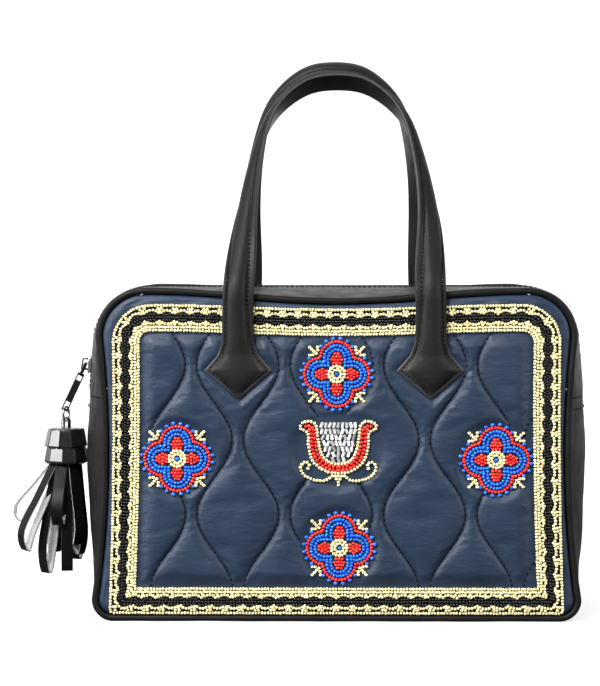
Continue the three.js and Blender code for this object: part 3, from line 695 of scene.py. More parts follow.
class Repeater(NodeWork):
    """A geometry node tree that strings small shapes along paths and sets them on single points."""

    TONE_DRAW = 41
    DRIFT_DRAW = 11
    SIZE_DRAW = 23
    LEAN_DRAW = 5

    def __init__(self, name: str, **numbers: float) -> None:
        """Starts a tree with a geometry output and input, named numbers, a seed and a material."""
        super().__init__(bpy.data.node_groups.new(name, "GeometryNodeTree"))
        self.keys: dict[str, str] = {}
        self.tree.interface.new_socket("Geometry", in_out="OUTPUT", socket_type="NodeSocketGeometry")
        self.entry = self.tree.nodes.new("NodeGroupInput")
        self.option("Geometry", "NodeSocketGeometry")
        for key, value in numbers.items():
            self.option(key, "NodeSocketFloat", value)
        self.option("Seed", "NodeSocketInt", 1)
        self.option("Material", "NodeSocketMaterial")

    def option(self, name: str, kind: str, value: Any = None) -> None:
        """Adds a named input, with its value where nothing else is given."""
        socket = self.tree.interface.new_socket(name, in_out="INPUT", socket_type=kind)
        if value is not None:
            socket.default_value = value
        self.keys[name] = socket.identifier

    def given(self, name: str) -> bpy.types.NodeSocket:
        """The socket that carries a named input."""
        return self.entry.outputs[name]

    def chance(self, low: Any, high: Any, shift: int) -> bpy.types.NodeSocket:
        """A random number or vector for each point, from the tree's seed.

        Args:
            low: Lowest value.
            high: Highest value.
            shift: What is added to the seed, so that draws differ.

        Returns:
            The random value.
        """
        seed = self.add("ShaderNodeMath", {0: self.given("Seed"), 1: float(shift)}, operation="ADD")
        vector = isinstance(low, tuple)
        first = 0 if vector else 2
        kind = "FLOAT_VECTOR" if vector else "FLOAT"
        inputs = {first: low, first + 1: high, 8: seed.outputs[0]}
        node = self.add("FunctionNodeRandomValue", inputs, data_type=kind)
        return node.outputs[0 if vector else 1]

    def scattered(self, reach: tuple[float, float, float], shift: int, scale: str) -> bpy.types.NodeSocket:
        """A random vector for each point, within a reach either way, times a named input."""
        draw = self.chance(tuple(-part for part in reach), reach, shift)
        inputs = {0: draw, "Scale": self.given(scale)}
        return self.add("ShaderNodeVectorMath", inputs, operation="SCALE").outputs[0]

    def strung_points(self) -> tuple[bpy.types.NodeSocket, bpy.types.NodeSocket]:
        """Points along the paths of the input, and its single points, with the turn that follows the path."""
        paths = self.add("GeometryNodeMeshToCurve", {"Mesh": self.given("Geometry")})
        spacing = {"Curve": paths.outputs[0], "Length": self.given("Pitch")}
        along = self.add("GeometryNodeCurveToPoints", spacing, mode="LENGTH")
        beside = self.add("GeometryNodeInputMeshVertexNeighbors")
        lone = self.add("FunctionNodeCompare", {2: beside.outputs["Vertex Count"], 3: 0},
                        data_type="INT", operation="EQUAL")
        chosen = {"Mesh": self.given("Geometry"), "Selection": lone.outputs[0]}
        single = self.add("GeometryNodeMeshToPoints", chosen)
        both = self.add("GeometryNodeJoinGeometry", {0: along.outputs["Points"]})
        self.feed(both.inputs[0], single.outputs[0])
        return both.outputs[0], along.outputs["Rotation"]

    def finish(self, points: bpy.types.NodeSocket, shape: bpy.types.NodeSocket, **turned: Any) -> None:
        """Sets a shape on points, each with its own tone, makes the shapes real and sets their material."""
        inputs = {"Points": points, "Instance": shape, **turned}
        set_on = self.add("GeometryNodeInstanceOnPoints", inputs)
        toned = self.add("GeometryNodeStoreNamedAttribute", {"Geometry": set_on.outputs[0], "Name": "tone"},
                         data_type="FLOAT", domain="INSTANCE")
        self.feed(toned.inputs["Value"], self.chance(0.0, 1.0, self.TONE_DRAW))
        real = self.add("GeometryNodeRealizeInstances", {"Geometry": toned.outputs[0]})
        dressed = {"Geometry": real.outputs[0], "Material": self.given("Material")}
        clad = self.add("GeometryNodeSetMaterial", dressed)
        self.add("NodeGroupOutput", {0: clad.outputs[0]})

    def grow(self, name: str, seeds: "Seeds", values: dict[str, Any]) -> bpy.types.Object:
        """Runs the tree on paths and points, and gives back its result as a plain mesh.

        Args:
            name: Name of the object that is made.
            seeds: Paths and points to work on.
            values: Values of the tree's inputs, by name.

        Returns:
            The object.
        """
        piece = seeds.object(name)
        modifier = piece.modifiers.new("repeat", "NODES")
        modifier.node_group = self.tree
        for key, value in values.items():
            modifier[self.keys[key]] = value
        applied(piece, modifier)
        return piece


class RoundRepeater(Repeater):
    """Strings round or long beads and stitches."""

    def __init__(self) -> None:
        """Builds the tree."""
        super().__init__("strung_rounds", Pitch=0.0019, Radius=0.00095, Stretch=0.85, Spread=0.06, Wander=0.0001)
        points, turn = self.strung_points()
        drift = self.scattered((1.0, 1.0, 1.0), self.DRIFT_DRAW, "Wander")
        moved = self.add("GeometryNodeSetPosition", {"Geometry": points, "Offset": drift})
        sizes = {"Segments": 8, "Rings": 5, "Radius": self.given("Radius")}
        ball = self.add("GeometryNodeMeshUVSphere", sizes).outputs["Mesh"]
        long = self.add("ShaderNodeCombineXYZ", {0: 1.0, 1: 1.0, 2: self.given("Stretch")})
        shaped = self.add("GeometryNodeTransform", {"Geometry": ball, "Scale": long.outputs[0]})
        smooth = self.add("GeometryNodeSetShadeSmooth", {"Geometry": shaped.outputs[0]})
        draw = self.chance(-1.0, 1.0, self.SIZE_DRAW)
        spread = {0: draw, 1: self.given("Spread"), 2: 1.0}
        size = self.add("ShaderNodeMath", spread, operation="MULTIPLY_ADD")
        self.finish(moved.outputs[0], smooth.outputs[0], Rotation=turn, Scale=size.outputs[0])


class TubeRepeater(Repeater):
    """Sets short upright glass tubes on single points, each leaning a little."""

    def __init__(self) -> None:
        """Builds the tree."""
        super().__init__("set_tubes", Pitch=0.01, Radius=0.001, Length=0.0038, Lean=0.16)
        points, _ = self.strung_points()
        sizes = {"Vertices": 8, "Side Segments": 1, "Radius": self.given("Radius"),
                 "Depth": self.given("Length")}
        tube = self.add("GeometryNodeMeshCylinder", sizes, fill_type="TRIANGLE_FAN")
        lean = self.scattered((0.5, 1.0, 0.5), self.LEAN_DRAW, "Lean")
        turn = self.add("FunctionNodeEulerToRotation", {0: lean})
        self.finish(points, tube.outputs["Mesh"], Rotation=turn.outputs[0])


class ToothRepeater(Repeater):
    """Sets zip teeth along a path, turn by turn on either side of it."""

    def __init__(self) -> None:
        """Builds the tree."""
        super().__init__("zip_teeth", Pitch=0.0015, Reach=0.0036, Width=0.0011, Rise=0.002, Shift=0.001)
        points, turn = self.strung_points()
        index = self.add("GeometryNodeInputIndex")
        odd = self.add("ShaderNodeMath", {0: index.outputs[0], 1: 2.0}, operation="MODULO")
        side = self.add("ShaderNodeMath", {0: odd.outputs[0], 1: 2.0, 2: -1.0}, operation="MULTIPLY_ADD")
        away = self.add("ShaderNodeMath", {0: side.outputs[0], 1: self.given("Shift")}, operation="MULTIPLY")
        offset = self.add("ShaderNodeCombineXYZ", {1: away.outputs[0]})
        moved = self.add("GeometryNodeSetPosition", {"Geometry": points, "Offset": offset.outputs[0]})
        size = self.add("ShaderNodeCombineXYZ", {0: self.given("Rise"), 1: self.given("Reach"),
                                                 2: self.given("Width")})
        block = self.add("GeometryNodeMeshCube", {"Size": size.outputs[0], "Vertices X": 2, "Vertices Y": 3,
                                                  "Vertices Z": 2})
        self.finish(moved.outputs[0], block.outputs["Mesh"], Rotation=turn)


@dataclass
class Seeds:
    """Paths and single points, in millimetres, on which small shapes are set."""

    paths: list[tuple[Array, bool]] = field(default_factory=list)
    points: list[Array] = field(default_factory=list)

    def path(self, places: Array, closed: bool = False) -> None:
        """Adds a path, which may close on itself."""
        self.paths.append((np.asarray(places, float), closed))

    def scatter(self, places: Array) -> None:
        """Adds single points."""
        self.points.append(np.asarray(places, float).reshape(-1, 3))

    def object(self, name: str) -> bpy.types.Object:
        """A mesh object of the paths' edges and the single points, for a tree to work on."""
        vertices: list[list[float]] = []
        edges: list[tuple[int, int]] = []
        for places, closed in self.paths:
            start, count = len(vertices), len(places)
            vertices += (places * MM).tolist()
            edges += [(start + i, start + i + 1) for i in range(count - 1)]
            if closed:
                edges.append((start + count - 1, start))
        for places in self.points:
            vertices += (places * MM).tolist()
        mesh = bpy.data.meshes.new(name)
        mesh.from_pydata(vertices, edges, [])
        return linked(name, mesh)


class Workshop:
    """The materials and the node trees that all sub-assemblies share."""

    STITCH_SHARE = 0.31
    STITCH_SPREAD = 0.08
    STITCH_WANDER = 0.06
    BEAD_STRETCH = 0.86
    BEAD_SPREAD = 0.07
    BEAD_WANDER = 0.13

    def __init__(self) -> None:
        """Builds the node trees."""
        self.wardrobe = Wardrobe()
        self.rounds = RoundRepeater()
        self.tubes = TubeRepeater()
        self.teeth = ToothRepeater()
        self.seed = 0

    def material(self, finish: Any) -> bpy.types.Material:
        """The material of a finish."""
        return self.wardrobe.material(finish)

    def next_seed(self) -> int:
        """A new fixed seed for each piece, in building order."""
        self.seed += 7
        return self.seed

    def beads(self, name: str, seeds: Seeds, kind: Bead, node: str, radius: float = 0.95,
              pitch: float = 1.9) -> bpy.types.Object:
        """A piece of strung and single beads of one kind.

        Args:
            name: Name of the piece.
            seeds: Where the beads sit.
            kind: Kind of bead.
            node: Solid that the beads stand for.
            radius: Radius of a bead, in millimetres.
            pitch: Distance along a string, in millimetres.

        Returns:
            The piece.
        """
        values = {"Pitch": pitch * MM, "Radius": radius * MM, "Stretch": self.BEAD_STRETCH,
                  "Spread": self.BEAD_SPREAD, "Wander": self.BEAD_WANDER * MM,
                  "Seed": self.next_seed(), "Material": self.material(kind.finish)}
        return place(self.rounds.grow(name, seeds, values), [node], kind.slot)

    def stitches(self, name: str, seeds: Seeds, finish: ThreadFinish, node: str, slot: Slot,
                 pitch: float = 3.2, radius: float = 0.42) -> bpy.types.Object:
        """A piece of sewn stitches along paths.

        Args:
            name: Name of the piece.
            seeds: Paths of the seams.
            finish: Finish of the thread.
            node: Solid that the seam is sewn through.
            slot: Slot of the record.
            pitch: Distance from stitch to stitch, in millimetres.
            radius: Radius of the thread, in millimetres.

        Returns:
            The piece.
        """
        values = {"Pitch": pitch * MM, "Radius": radius * MM, "Stretch": self.STITCH_SHARE * pitch / radius,
                  "Spread": self.STITCH_SPREAD, "Wander": self.STITCH_WANDER * MM,
                  "Seed": self.next_seed(), "Material": self.material(finish)}
        return place(self.rounds.grow(name, seeds, values), [node], slot)


@dataclass(frozen=True)
class Track:
    """A run along an outline: places, outward directions and how far the top edge hangs there."""

    places: Array
    dips: Array
    closed: bool

    @property
    def outward(self) -> Array:
        """Unit directions that lead out of the outline."""
        if self.closed:
            run = np.roll(self.places, -1, axis=0) - np.roll(self.places, 1, axis=0)
        else:
            run = np.gradient(self.places, axis=0)
        run = run / np.maximum(np.linalg.norm(run, axis=1, keepdims=True), 1e-9)
        return np.stack([run[:, 1], -run[:, 0]], axis=1)

    def off(self, depth: Any, offset: Any) -> Array:
        """Points at a depth from front to back, moved outwards by an offset."""
        flat = self.places + self.outward * np.asarray(offset, float).reshape(-1, 1)
        depths = np.broadcast_to(np.asarray(depth, float), (len(flat),))
        return np.stack([flat[:, 0], depths, flat[:, 1]], axis=1)


@dataclass(frozen=True)
class Outline:
    """A symmetric closed outline with pinched sides, a sagging top and round corners, in millimetres."""

    base: float
    waist: float
    shoulder: float
    bottom: float
    top: float
    sag: float
    base_corner: float
    top_corner: float

    FLOOR_STEPS = 70
    BASE_CORNER_STEPS = 16
    SIDE_STEPS = 56
    TOP_CORNER_STEPS = 30
    TOP_STEPS = 60

    @property
    def side_foot(self) -> float:
        """Height where the sides start."""
        return self.bottom + self.base_corner

    @property
    def side_head(self) -> float:
        """Height where the sides end."""
        return self.top - self.top_corner

    @property
    def floor_half(self) -> float:
        """Half the flat width of the base."""
        return self.base - self.base_corner

    @property
    def top_half(self) -> float:
        """Half the width of the top edge between its corners."""
        return self.shoulder - self.top_corner

    def inset(self, distance: float) -> "Outline":
        """The outline a distance further in."""
        base, waist, shoulder, top = (v - distance for v in (self.base, self.waist, self.shoulder, self.top))
        corners = (max(corner - distance, 1.0) for corner in (self.base_corner, self.top_corner))
        return Outline(base, waist, shoulder, self.bottom + distance, top, self.sag, *corners)

    def side(self, z: Any) -> Any:
        """Half width of the pinched side at a height."""
        t = (z - self.side_foot) / (self.side_head - self.side_foot)
        return self.base * (1 - t) * (1 - 2 * t) + self.waist * 4 * t * (1 - t) + self.shoulder * t * (2 * t - 1)

    def half_width(self, z: Any) -> Any:
        """Half width at a height, corners included."""
        z = np.asarray(z, float)
        drop = np.clip(self.side_foot - z, 0, self.base_corner)
        rise = np.clip(z - self.side_head, 0, self.top_corner)
        low = self.floor_half + np.sqrt(self.base_corner**2 - drop**2)
        high = self.top_half + np.sqrt(self.top_corner**2 - rise**2)
        return np.where(z < self.side_foot, low, np.where(z > self.side_head, high, self.side(z)))

    def dip(self, x: Any) -> Any:
        """How far the top edge hangs below its shoulders."""
        return self.sag * (1 + np.cos(np.pi * np.clip(np.abs(x) / self.top_half, 0, 1))) / 2

    def lower_half(self, height: float) -> Array:
        """Right half from the middle of the base up to a height: x, z and hang."""
        floor = np.linspace(0, self.floor_half, self.FLOOR_STEPS, endpoint=False)
        angle = np.linspace(0, math.pi / 2, self.BASE_CORNER_STEPS, endpoint=False)
        z = np.linspace(self.side_foot, height, self.SIDE_STEPS)
        x = np.concatenate([floor, self.floor_half + self.base_corner * np.sin(angle), self.side(z)])
        corner = self.side_foot - self.base_corner * np.cos(angle)
        up = np.concatenate([np.full_like(floor, self.bottom), corner, z])
        return np.stack([x, up, np.zeros_like(x)], axis=1)

    def upper_half(self, height: float) -> Array:
        """Right half from a height up to the middle of the top: x, z and hang."""
        z = np.linspace(height, self.side_head, self.SIDE_STEPS // 2, endpoint=False)
        angle = np.linspace(0, math.pi / 2, self.TOP_CORNER_STEPS, endpoint=False)
        across = np.linspace(self.top_half, 0, self.TOP_STEPS)
        x = np.concatenate([self.side(z), self.top_half + self.top_corner * np.cos(angle), across])
        up = np.concatenate([z, self.side_head + self.top_corner * np.sin(angle), self.top - self.dip(across)])
        hang = np.concatenate([np.zeros(len(z) + len(angle)), self.dip(across)])
        return np.stack([x, up, hang], axis=1)

    @staticmethod
    def track(rows: Array, closed: bool) -> Track:
        """A track from rows of x, z and hang."""
        return Track(rows[:, :2], rows[:, 2], closed)

    def cradle(self, height: float) -> Track:
        """Left side, base and right side, open at a height."""
        right = self.lower_half(height)
        left = right[:0:-1] * np.array([-1, 1, 1])
        return self.track(np.vstack([left, right]), False)

    def arch(self, height: float) -> Track:
        """Right side, top and left side, open at a height."""
        right = self.upper_half(height)
        left = right[-2::-1] * np.array([-1, 1, 1])
        return self.track(np.vstack([right, left]), False)

    def loop(self, split: float = 135.0) -> Track:
        """The whole closed outline, anticlockwise seen from the front."""
        right = np.vstack([self.lower_half(split), self.upper_half(split)[1:]])
        left = right[-2:0:-1] * np.array([-1, 1, 1])
        return self.track(np.vstack([right, left]), True)


SEAM = Outline(145.5, 139, 142.5, 2.3, 199.5, 6, 11, 28)
PANEL = SEAM.inset(2.4)
BORDER = Outline(137, 134.6, 134.3, 4.6, 191.7, 2.7, 3, 23)
BORDER_WIDTH = 16.6
SEAM_DEPTH = 58.0
LEATHER = 1.8
ROSETTES = {"top": (0.2, 149.7), "left": (-95.4, 98.9), "right": (95.6, 98.3), "bottom": (1.8, 45.3)}
MOTIF = (1.2, 104.0)
HANDLE_OUT = 57.5
TAB_MIDDLE = 152.0


@dataclass
class QuiltedSurface:
    """The face of a padded panel: rolled edge, ogee quilting, and flat places under what is sewn on."""

    beaded: bool
    rim: float = 57.4
    roll_width: float = 6.0
    roll_rise: float = 2.6
    pitch: float = 28.0
    shift: float = -3.0
    sway: float = 10.6
    period: float = 90.0
    waist: float = 110.0
    rise: float = 3.2
    crown: float = 0.35
    roll_off: float = 1.4
    margin_ripple: float = 0.3
    lip_power: float = 1.2
    full_width: float = 34.0
    pucker: float = 0.16
    pucker_reach: float = 2.4
    pressed_level: float = 0.8
    thread_lift: float = 0.25
    lines: int = 5

    TAB_SEAT = (21.5, 18.5)
    STRAP_SEAT = (10.0, 15.0)
    STRAP_FROM = (150.0, 158.0)
    ROSETTE_SEAT = (20.5, 26.0)
    MOTIF_SEAT = (25.0, 21.0)
    SLACK = ((0.08, 34.0, 5), (0.03, 13.0, 6))
    SEWN_HALF = 0.55
    SEWN_PRESS = 0.35
    SEWN_MARGIN = 1.5
    BATCH = 1500

    def __post_init__(self) -> None:
        """Keeps the outline's edge as points, to measure distances from."""
        self.edge = PANEL.loop().places
        inner = BORDER.inset(BORDER_WIDTH) if self.beaded else PANEL.inset(5)
        self.inner_edge = inner.loop().places

    @staticmethod
    def inside(edge: Array, x: Array, z: Array) -> Array:
        """Distance from points to an outline's edge, negative outside of it."""
        places = np.stack([x, z], axis=1)
        nearest = np.empty(len(places))
        after = np.roll(edge, -1, axis=0)
        run = after - edge
        square = np.maximum((run**2).sum(axis=1), 1e-9)
        batch = QuiltedSurface.BATCH
        for start in range(0, len(places), batch):
            part = places[start:start + batch, None, :] - edge[None]
            share = np.clip((part * run).sum(axis=2) / square, 0, 1)
            away = part - share[..., None] * run
            gap = (away**2).sum(axis=2)
            best = gap.argmin(axis=1)
            rows = np.arange(len(best))
            cross = run[best, 0] * part[rows, best, 1] - run[best, 1] * part[rows, best, 0]
            nearest[start:start + batch] = np.sqrt(gap[rows, best]) * np.where(cross >= 0, 1, -1)
        return nearest

    def seat(self, x: Array, z: Array) -> Array:
        """Depth of the face without its quilting."""
        inward = np.clip(self.inside(self.edge, x, z) / self.roll_width, 0, 1)
        return self.rim + self.roll_rise * np.sqrt(1 - (1 - inward) ** 2)

    def line(self, number: int, z: Any) -> Any:
        """Sideways place of a quilting line at a height."""
        swing = 1 if number % 2 == 0 else -1
        wave = -np.cos(2 * math.pi * (z - self.waist) / self.period)
        return self.shift + self.pitch * (number + 0.5) + self.sway * wave * swing

    def pressed(self, x: Array, z: Array) -> Array:
        """1 under what is sewn on the panel, 0 away from it."""
        aside = np.abs(np.abs(x) - HANDLE_OUT)
        tab = aside / self.TAB_SEAT[0] + np.abs(z - TAB_MIDDLE) / self.TAB_SEAT[1]
        strap = (1 - smoothstep(aside, *self.STRAP_SEAT)) * smoothstep(z, *self.STRAP_FROM)
        flat = np.maximum(1 - smoothstep(tab, 1.0, 1.22), strap)
        if self.beaded:
            for spot_x, spot_z in ROSETTES.values():
                away = np.hypot(x - spot_x, z - spot_z)
                flat = np.maximum(flat, 1 - smoothstep(away, *self.ROSETTE_SEAT))
            away = np.hypot((x - MOTIF[0]) / self.MOTIF_SEAT[0], (z - MOTIF[1]) / self.MOTIF_SEAT[1])
            flat = np.maximum(flat, 1 - smoothstep(away, 1.0, 1.25))
        return flat

    def relief(self, x: Array, z: Array) -> Array:
        """How far the padding stands above the face."""
        puff = np.zeros_like(x)
        near = np.full_like(x, 1e3)
        for number in range(-self.lines - 1, self.lines):
            low, high = self.line(number, z), self.line(number + 1, z)
            share = np.clip((x - low) / (high - low), 0, 1)
            away = 0.9 * np.minimum(x - low, high - x)
            lip = 1 - np.exp(-((np.maximum(away, 0) / self.roll_off) ** self.lip_power))
            dome = np.sin(np.pi * share) * np.clip((high - low) / self.full_width, 0, 1.15)
            full = (1 - self.crown) * lip + self.crown * dome
            puff = np.where((x >= low) & (x < high), full, puff)
            near = np.minimum(near, np.abs(x - low))
        within = smoothstep(self.inside(self.inner_edge, x, z), 0.5, 9.0)
        places = np.stack([x, z], axis=1)
        slack = sum(height * ripples(places, wave, seed) for height, wave, seed in self.SLACK)
        pucker = self.pucker * np.exp(-near / self.pucker_reach) * smoothstep(near, 0.2, 1.0)
        folds = slack + pucker * ripples(places * np.array([0.3, 1.0]), 4.2, 8)
        raised = self.rise * puff + folds * smoothstep(puff, 0.02, 0.5)
        rim = self.inside(self.edge, x, z)
        margin = smoothstep(rim, 2.0, 4.5) * (1 - smoothstep(rim, 6.0, 9.0))
        waves = self.margin_ripple * margin * ripples(places, 15.0, 9)
        return within * lerp(raised, self.pressed_level, self.pressed(x, z)) + waves

    def held(self, x: Array, z: Array) -> Array:
        """Whether points are sewn down: on a quilting line, under the border or under what is sewn on."""
        near = np.full_like(x, 1e3)
        for number in range(-self.lines, self.lines):
            near = np.minimum(near, np.abs(x - self.line(number, z)))
        margin = self.inside(self.inner_edge, x, z) < self.SEWN_MARGIN
        return (near < self.SEWN_HALF) | (self.pressed(x, z) > self.SEWN_PRESS) | margin

    def level(self, x: Any, z: Any) -> Array:
        """Depth of the finished face."""
        x, z = np.atleast_1d(np.asarray(x, float)), np.atleast_1d(np.asarray(z, float))
        return self.seat(x, z) + self.relief(x, z)

    def on(self, x: Any, z: Any, lift: float) -> Array:
        """Points that stand on the face by a lift."""
        x, z = np.atleast_1d(np.asarray(x, float)), np.atleast_1d(np.asarray(z, float))
        return np.stack([x, -self.level(x, z) - lift, z], axis=1)

    def seams(self) -> list[Array]:
        """The visible runs of the quilting lines, on the face."""
        runs = []
        for number in range(-self.lines, self.lines):
            z = np.linspace(PANEL.bottom, PANEL.top, 420)
            x = self.line(number, z)
            open_face = (self.inside(self.inner_edge, x, z) > 1.2) & (self.pressed(x, z) < 0.75)
            cuts = np.flatnonzero(np.diff(open_face.astype(int))) + 1
            for part in np.split(np.arange(len(z)), cuts):
                if open_face[part[0]] and len(part) > 10:
                    runs.append(self.on(x[part], z[part], self.thread_lift))
        return runs


@dataclass
class Padding:
    """Padding that swells a sewn face: leather held along its seams and pushed outwards between them."""

    pressure: float = 5.0
    frames: int = 18
    slack: float = 0.004
    cap: float = 1.2
    tension: float = 15.0
    bending: float = 4.0
    mass: float = 0.2

    def sheet(self, points: Array, held: Array) -> bpy.types.Object:
        """The face as a cloth that is pinned where it is sewn down.

        Args:
            points: Places by row and column, in millimetres.
            held: Whether each place is sewn down.

        Returns:
            The cloth, ready to be stepped.
        """
        mesh = bpy.data.meshes.new("padding")
        mesh.from_pydata((points.reshape(-1, 3) * MM).tolist(), [], grid_faces(*held.shape))
        cloth = linked("padding", mesh)
        sewn = cloth.vertex_groups.new(name="sewn")
        sewn.add(np.flatnonzero(held.ravel()).tolist(), 1.0, "REPLACE")
        modifier = cloth.modifiers.new("filling", "CLOTH")
        modifier.point_cache.frame_start = 1
        modifier.point_cache.frame_end = self.frames
        modifier.collision_settings.use_collision = False
        settings = modifier.settings
        settings.vertex_group_mass = sewn.name
        settings.mass = self.mass
        settings.tension_stiffness = settings.compression_stiffness = self.tension
        settings.bending_stiffness = self.bending
        settings.shrink_min = -self.slack
        settings.use_pressure = True
        settings.uniform_pressure_force = self.pressure
        settings.effector_weights.gravity = 0.0
        return cloth

    @staticmethod
    def between(moves: Array) -> Array:
        """Moves on every second row, with the rows between them filled in smoothly."""
        padded = np.concatenate([moves[:1], moves, moves[-1:]])
        middle = (9 * (padded[1:-2] + padded[2:-1]) - padded[:-3] - padded[3:]) / 16
        full = np.empty((2 * len(moves) - 1, *moves.shape[1:]))
        full[::2] = moves
        full[1::2] = middle
        return full

    def swell(self, points: Array, held: Array) -> Array:
        """Moves of a face's points as the padding fills it, from a cloth on every second point.

        Args:
            points: Places by row and column, both odd in number, in millimetres.
            held: Whether each place is sewn down.

        Returns:
            The points after their moves.
        """
        start = points[::2, ::2]
        cloth = self.sheet(start, held[::2, ::2])
        scene = bpy.context.scene
        for number in range(1, self.frames + 1):
            scene.frame_set(number)
        graph = bpy.context.evaluated_depsgraph_get()
        ends = np.empty(start.size)
        cloth.evaluated_get(graph).data.vertices.foreach_get("co", ends)
        scene.frame_set(1)
        drop(cloth)
        moves = ends.reshape(start.shape) / MM - start
        far = np.linalg.norm(moves, axis=2, keepdims=True)
        moves *= self.cap * np.tanh(far / self.cap) / np.maximum(far, 1e-9)
        LOG.info("padding: moved up to %.2f mm, %.2f mm on average", far.max(), far.mean())
        moves = self.between(self.between(moves).swapaxes(0, 1)).swapaxes(0, 1)
        return points + np.where(held[..., None], 0.0, moves)


@dataclass
class QuiltedPanel:
    """A padded panel of navy leather, with its quilting stitches."""

    face: Face
    rows: int = 201
    cell_columns: int = 24
    side_columns: int = 26
    wall: float = 3.0
    fill: float = 0.6
    thread: float = 0.5
    stitch: float = 3.2

    def __post_init__(self) -> None:
        """Chooses the surface of this side."""
        self.surface = QuiltedSurface(self.face is Face.FRONT)

    def grid(self) -> tuple[Array, Array]:
        """Places x and z of the panel's points, row by row, with columns that follow the quilting lines."""
        height = lerp(PANEL.bottom, PANEL.top, eased(self.rows, 0.45))
        middle = (PANEL.bottom + PANEL.top) / 2
        hang = np.clip((height - middle) / (PANEL.top - middle), 0, 1) ** 2
        edge = PANEL.half_width(height)
        inner = self.surface.lines - 1
        lines = [-edge]
        for number in range(-inner, inner):
            x = self.surface.line(number, height)
            for _ in range(4):
                x = self.surface.line(number, height - PANEL.dip(x) * hang)
            lines.append(x)
        lines.append(edge)
        spans = []
        for i, (low, high) in enumerate(zip(lines, lines[1:])):
            count = self.side_columns if i in (0, len(lines) - 2) else self.cell_columns
            spans.append(lerp(low[:, None], high[:, None], eased(count, 0.9, endpoint=False)[None, :]))
        x = np.concatenate([*spans, edge[:, None]], axis=1)
        return x, height[:, None] - PANEL.dip(x) * hang[:, None]

    def leather(self) -> bpy.types.Object:
        """The panel as a closed shell: its padded face, its edge and its plain back."""
        x, z = self.grid()
        rows, columns = x.shape
        level = self.surface.level(x.ravel(), z.ravel()).reshape(x.shape)
        front = np.stack([x, -level, z], axis=2)
        front = Padding().swell(front, self.surface.held(x.ravel(), z.ravel()).reshape(x.shape))
        front = front.reshape(-1, 3)
        index = np.arange(rows * columns).reshape(rows, columns)
        ring = np.concatenate([index[0], index[1:, -1], index[-1, -2::-1], index[-2:0:-1, 0]])
        back = front[ring] + np.array([0.0, self.wall, 0.0])
        start, count = len(front), len(ring)
        faces = grid_faces(rows, columns)
        for i, after in enumerate(np.roll(np.arange(count), -1).tolist()):
            faces.append((int(ring[i]), start + i, start + after, int(ring[after])))
        faces.append(tuple(range(start, start + count)))
        points = self.face.turn(np.vstack([front, back]))
        return new_object(f"panel_{self.face.label}_leather", points, faces, 75)

    def build(self, shop: Workshop) -> None:
        """Makes the leather and its stitches."""
        node = f"panel_{self.face.label}"
        leather = place(self.leather(), [node], Slot.NAVY, shop.material(Wardrobe.NAVY))
        seeds = Seeds()
        for run in self.surface.seams():
            seeds.path(self.face.turn(run))
        shop.stitches(f"{node}_quilting", seeds, Wardrobe.NAVY_THREAD, node, Slot.NAVY, self.stitch, self.thread)


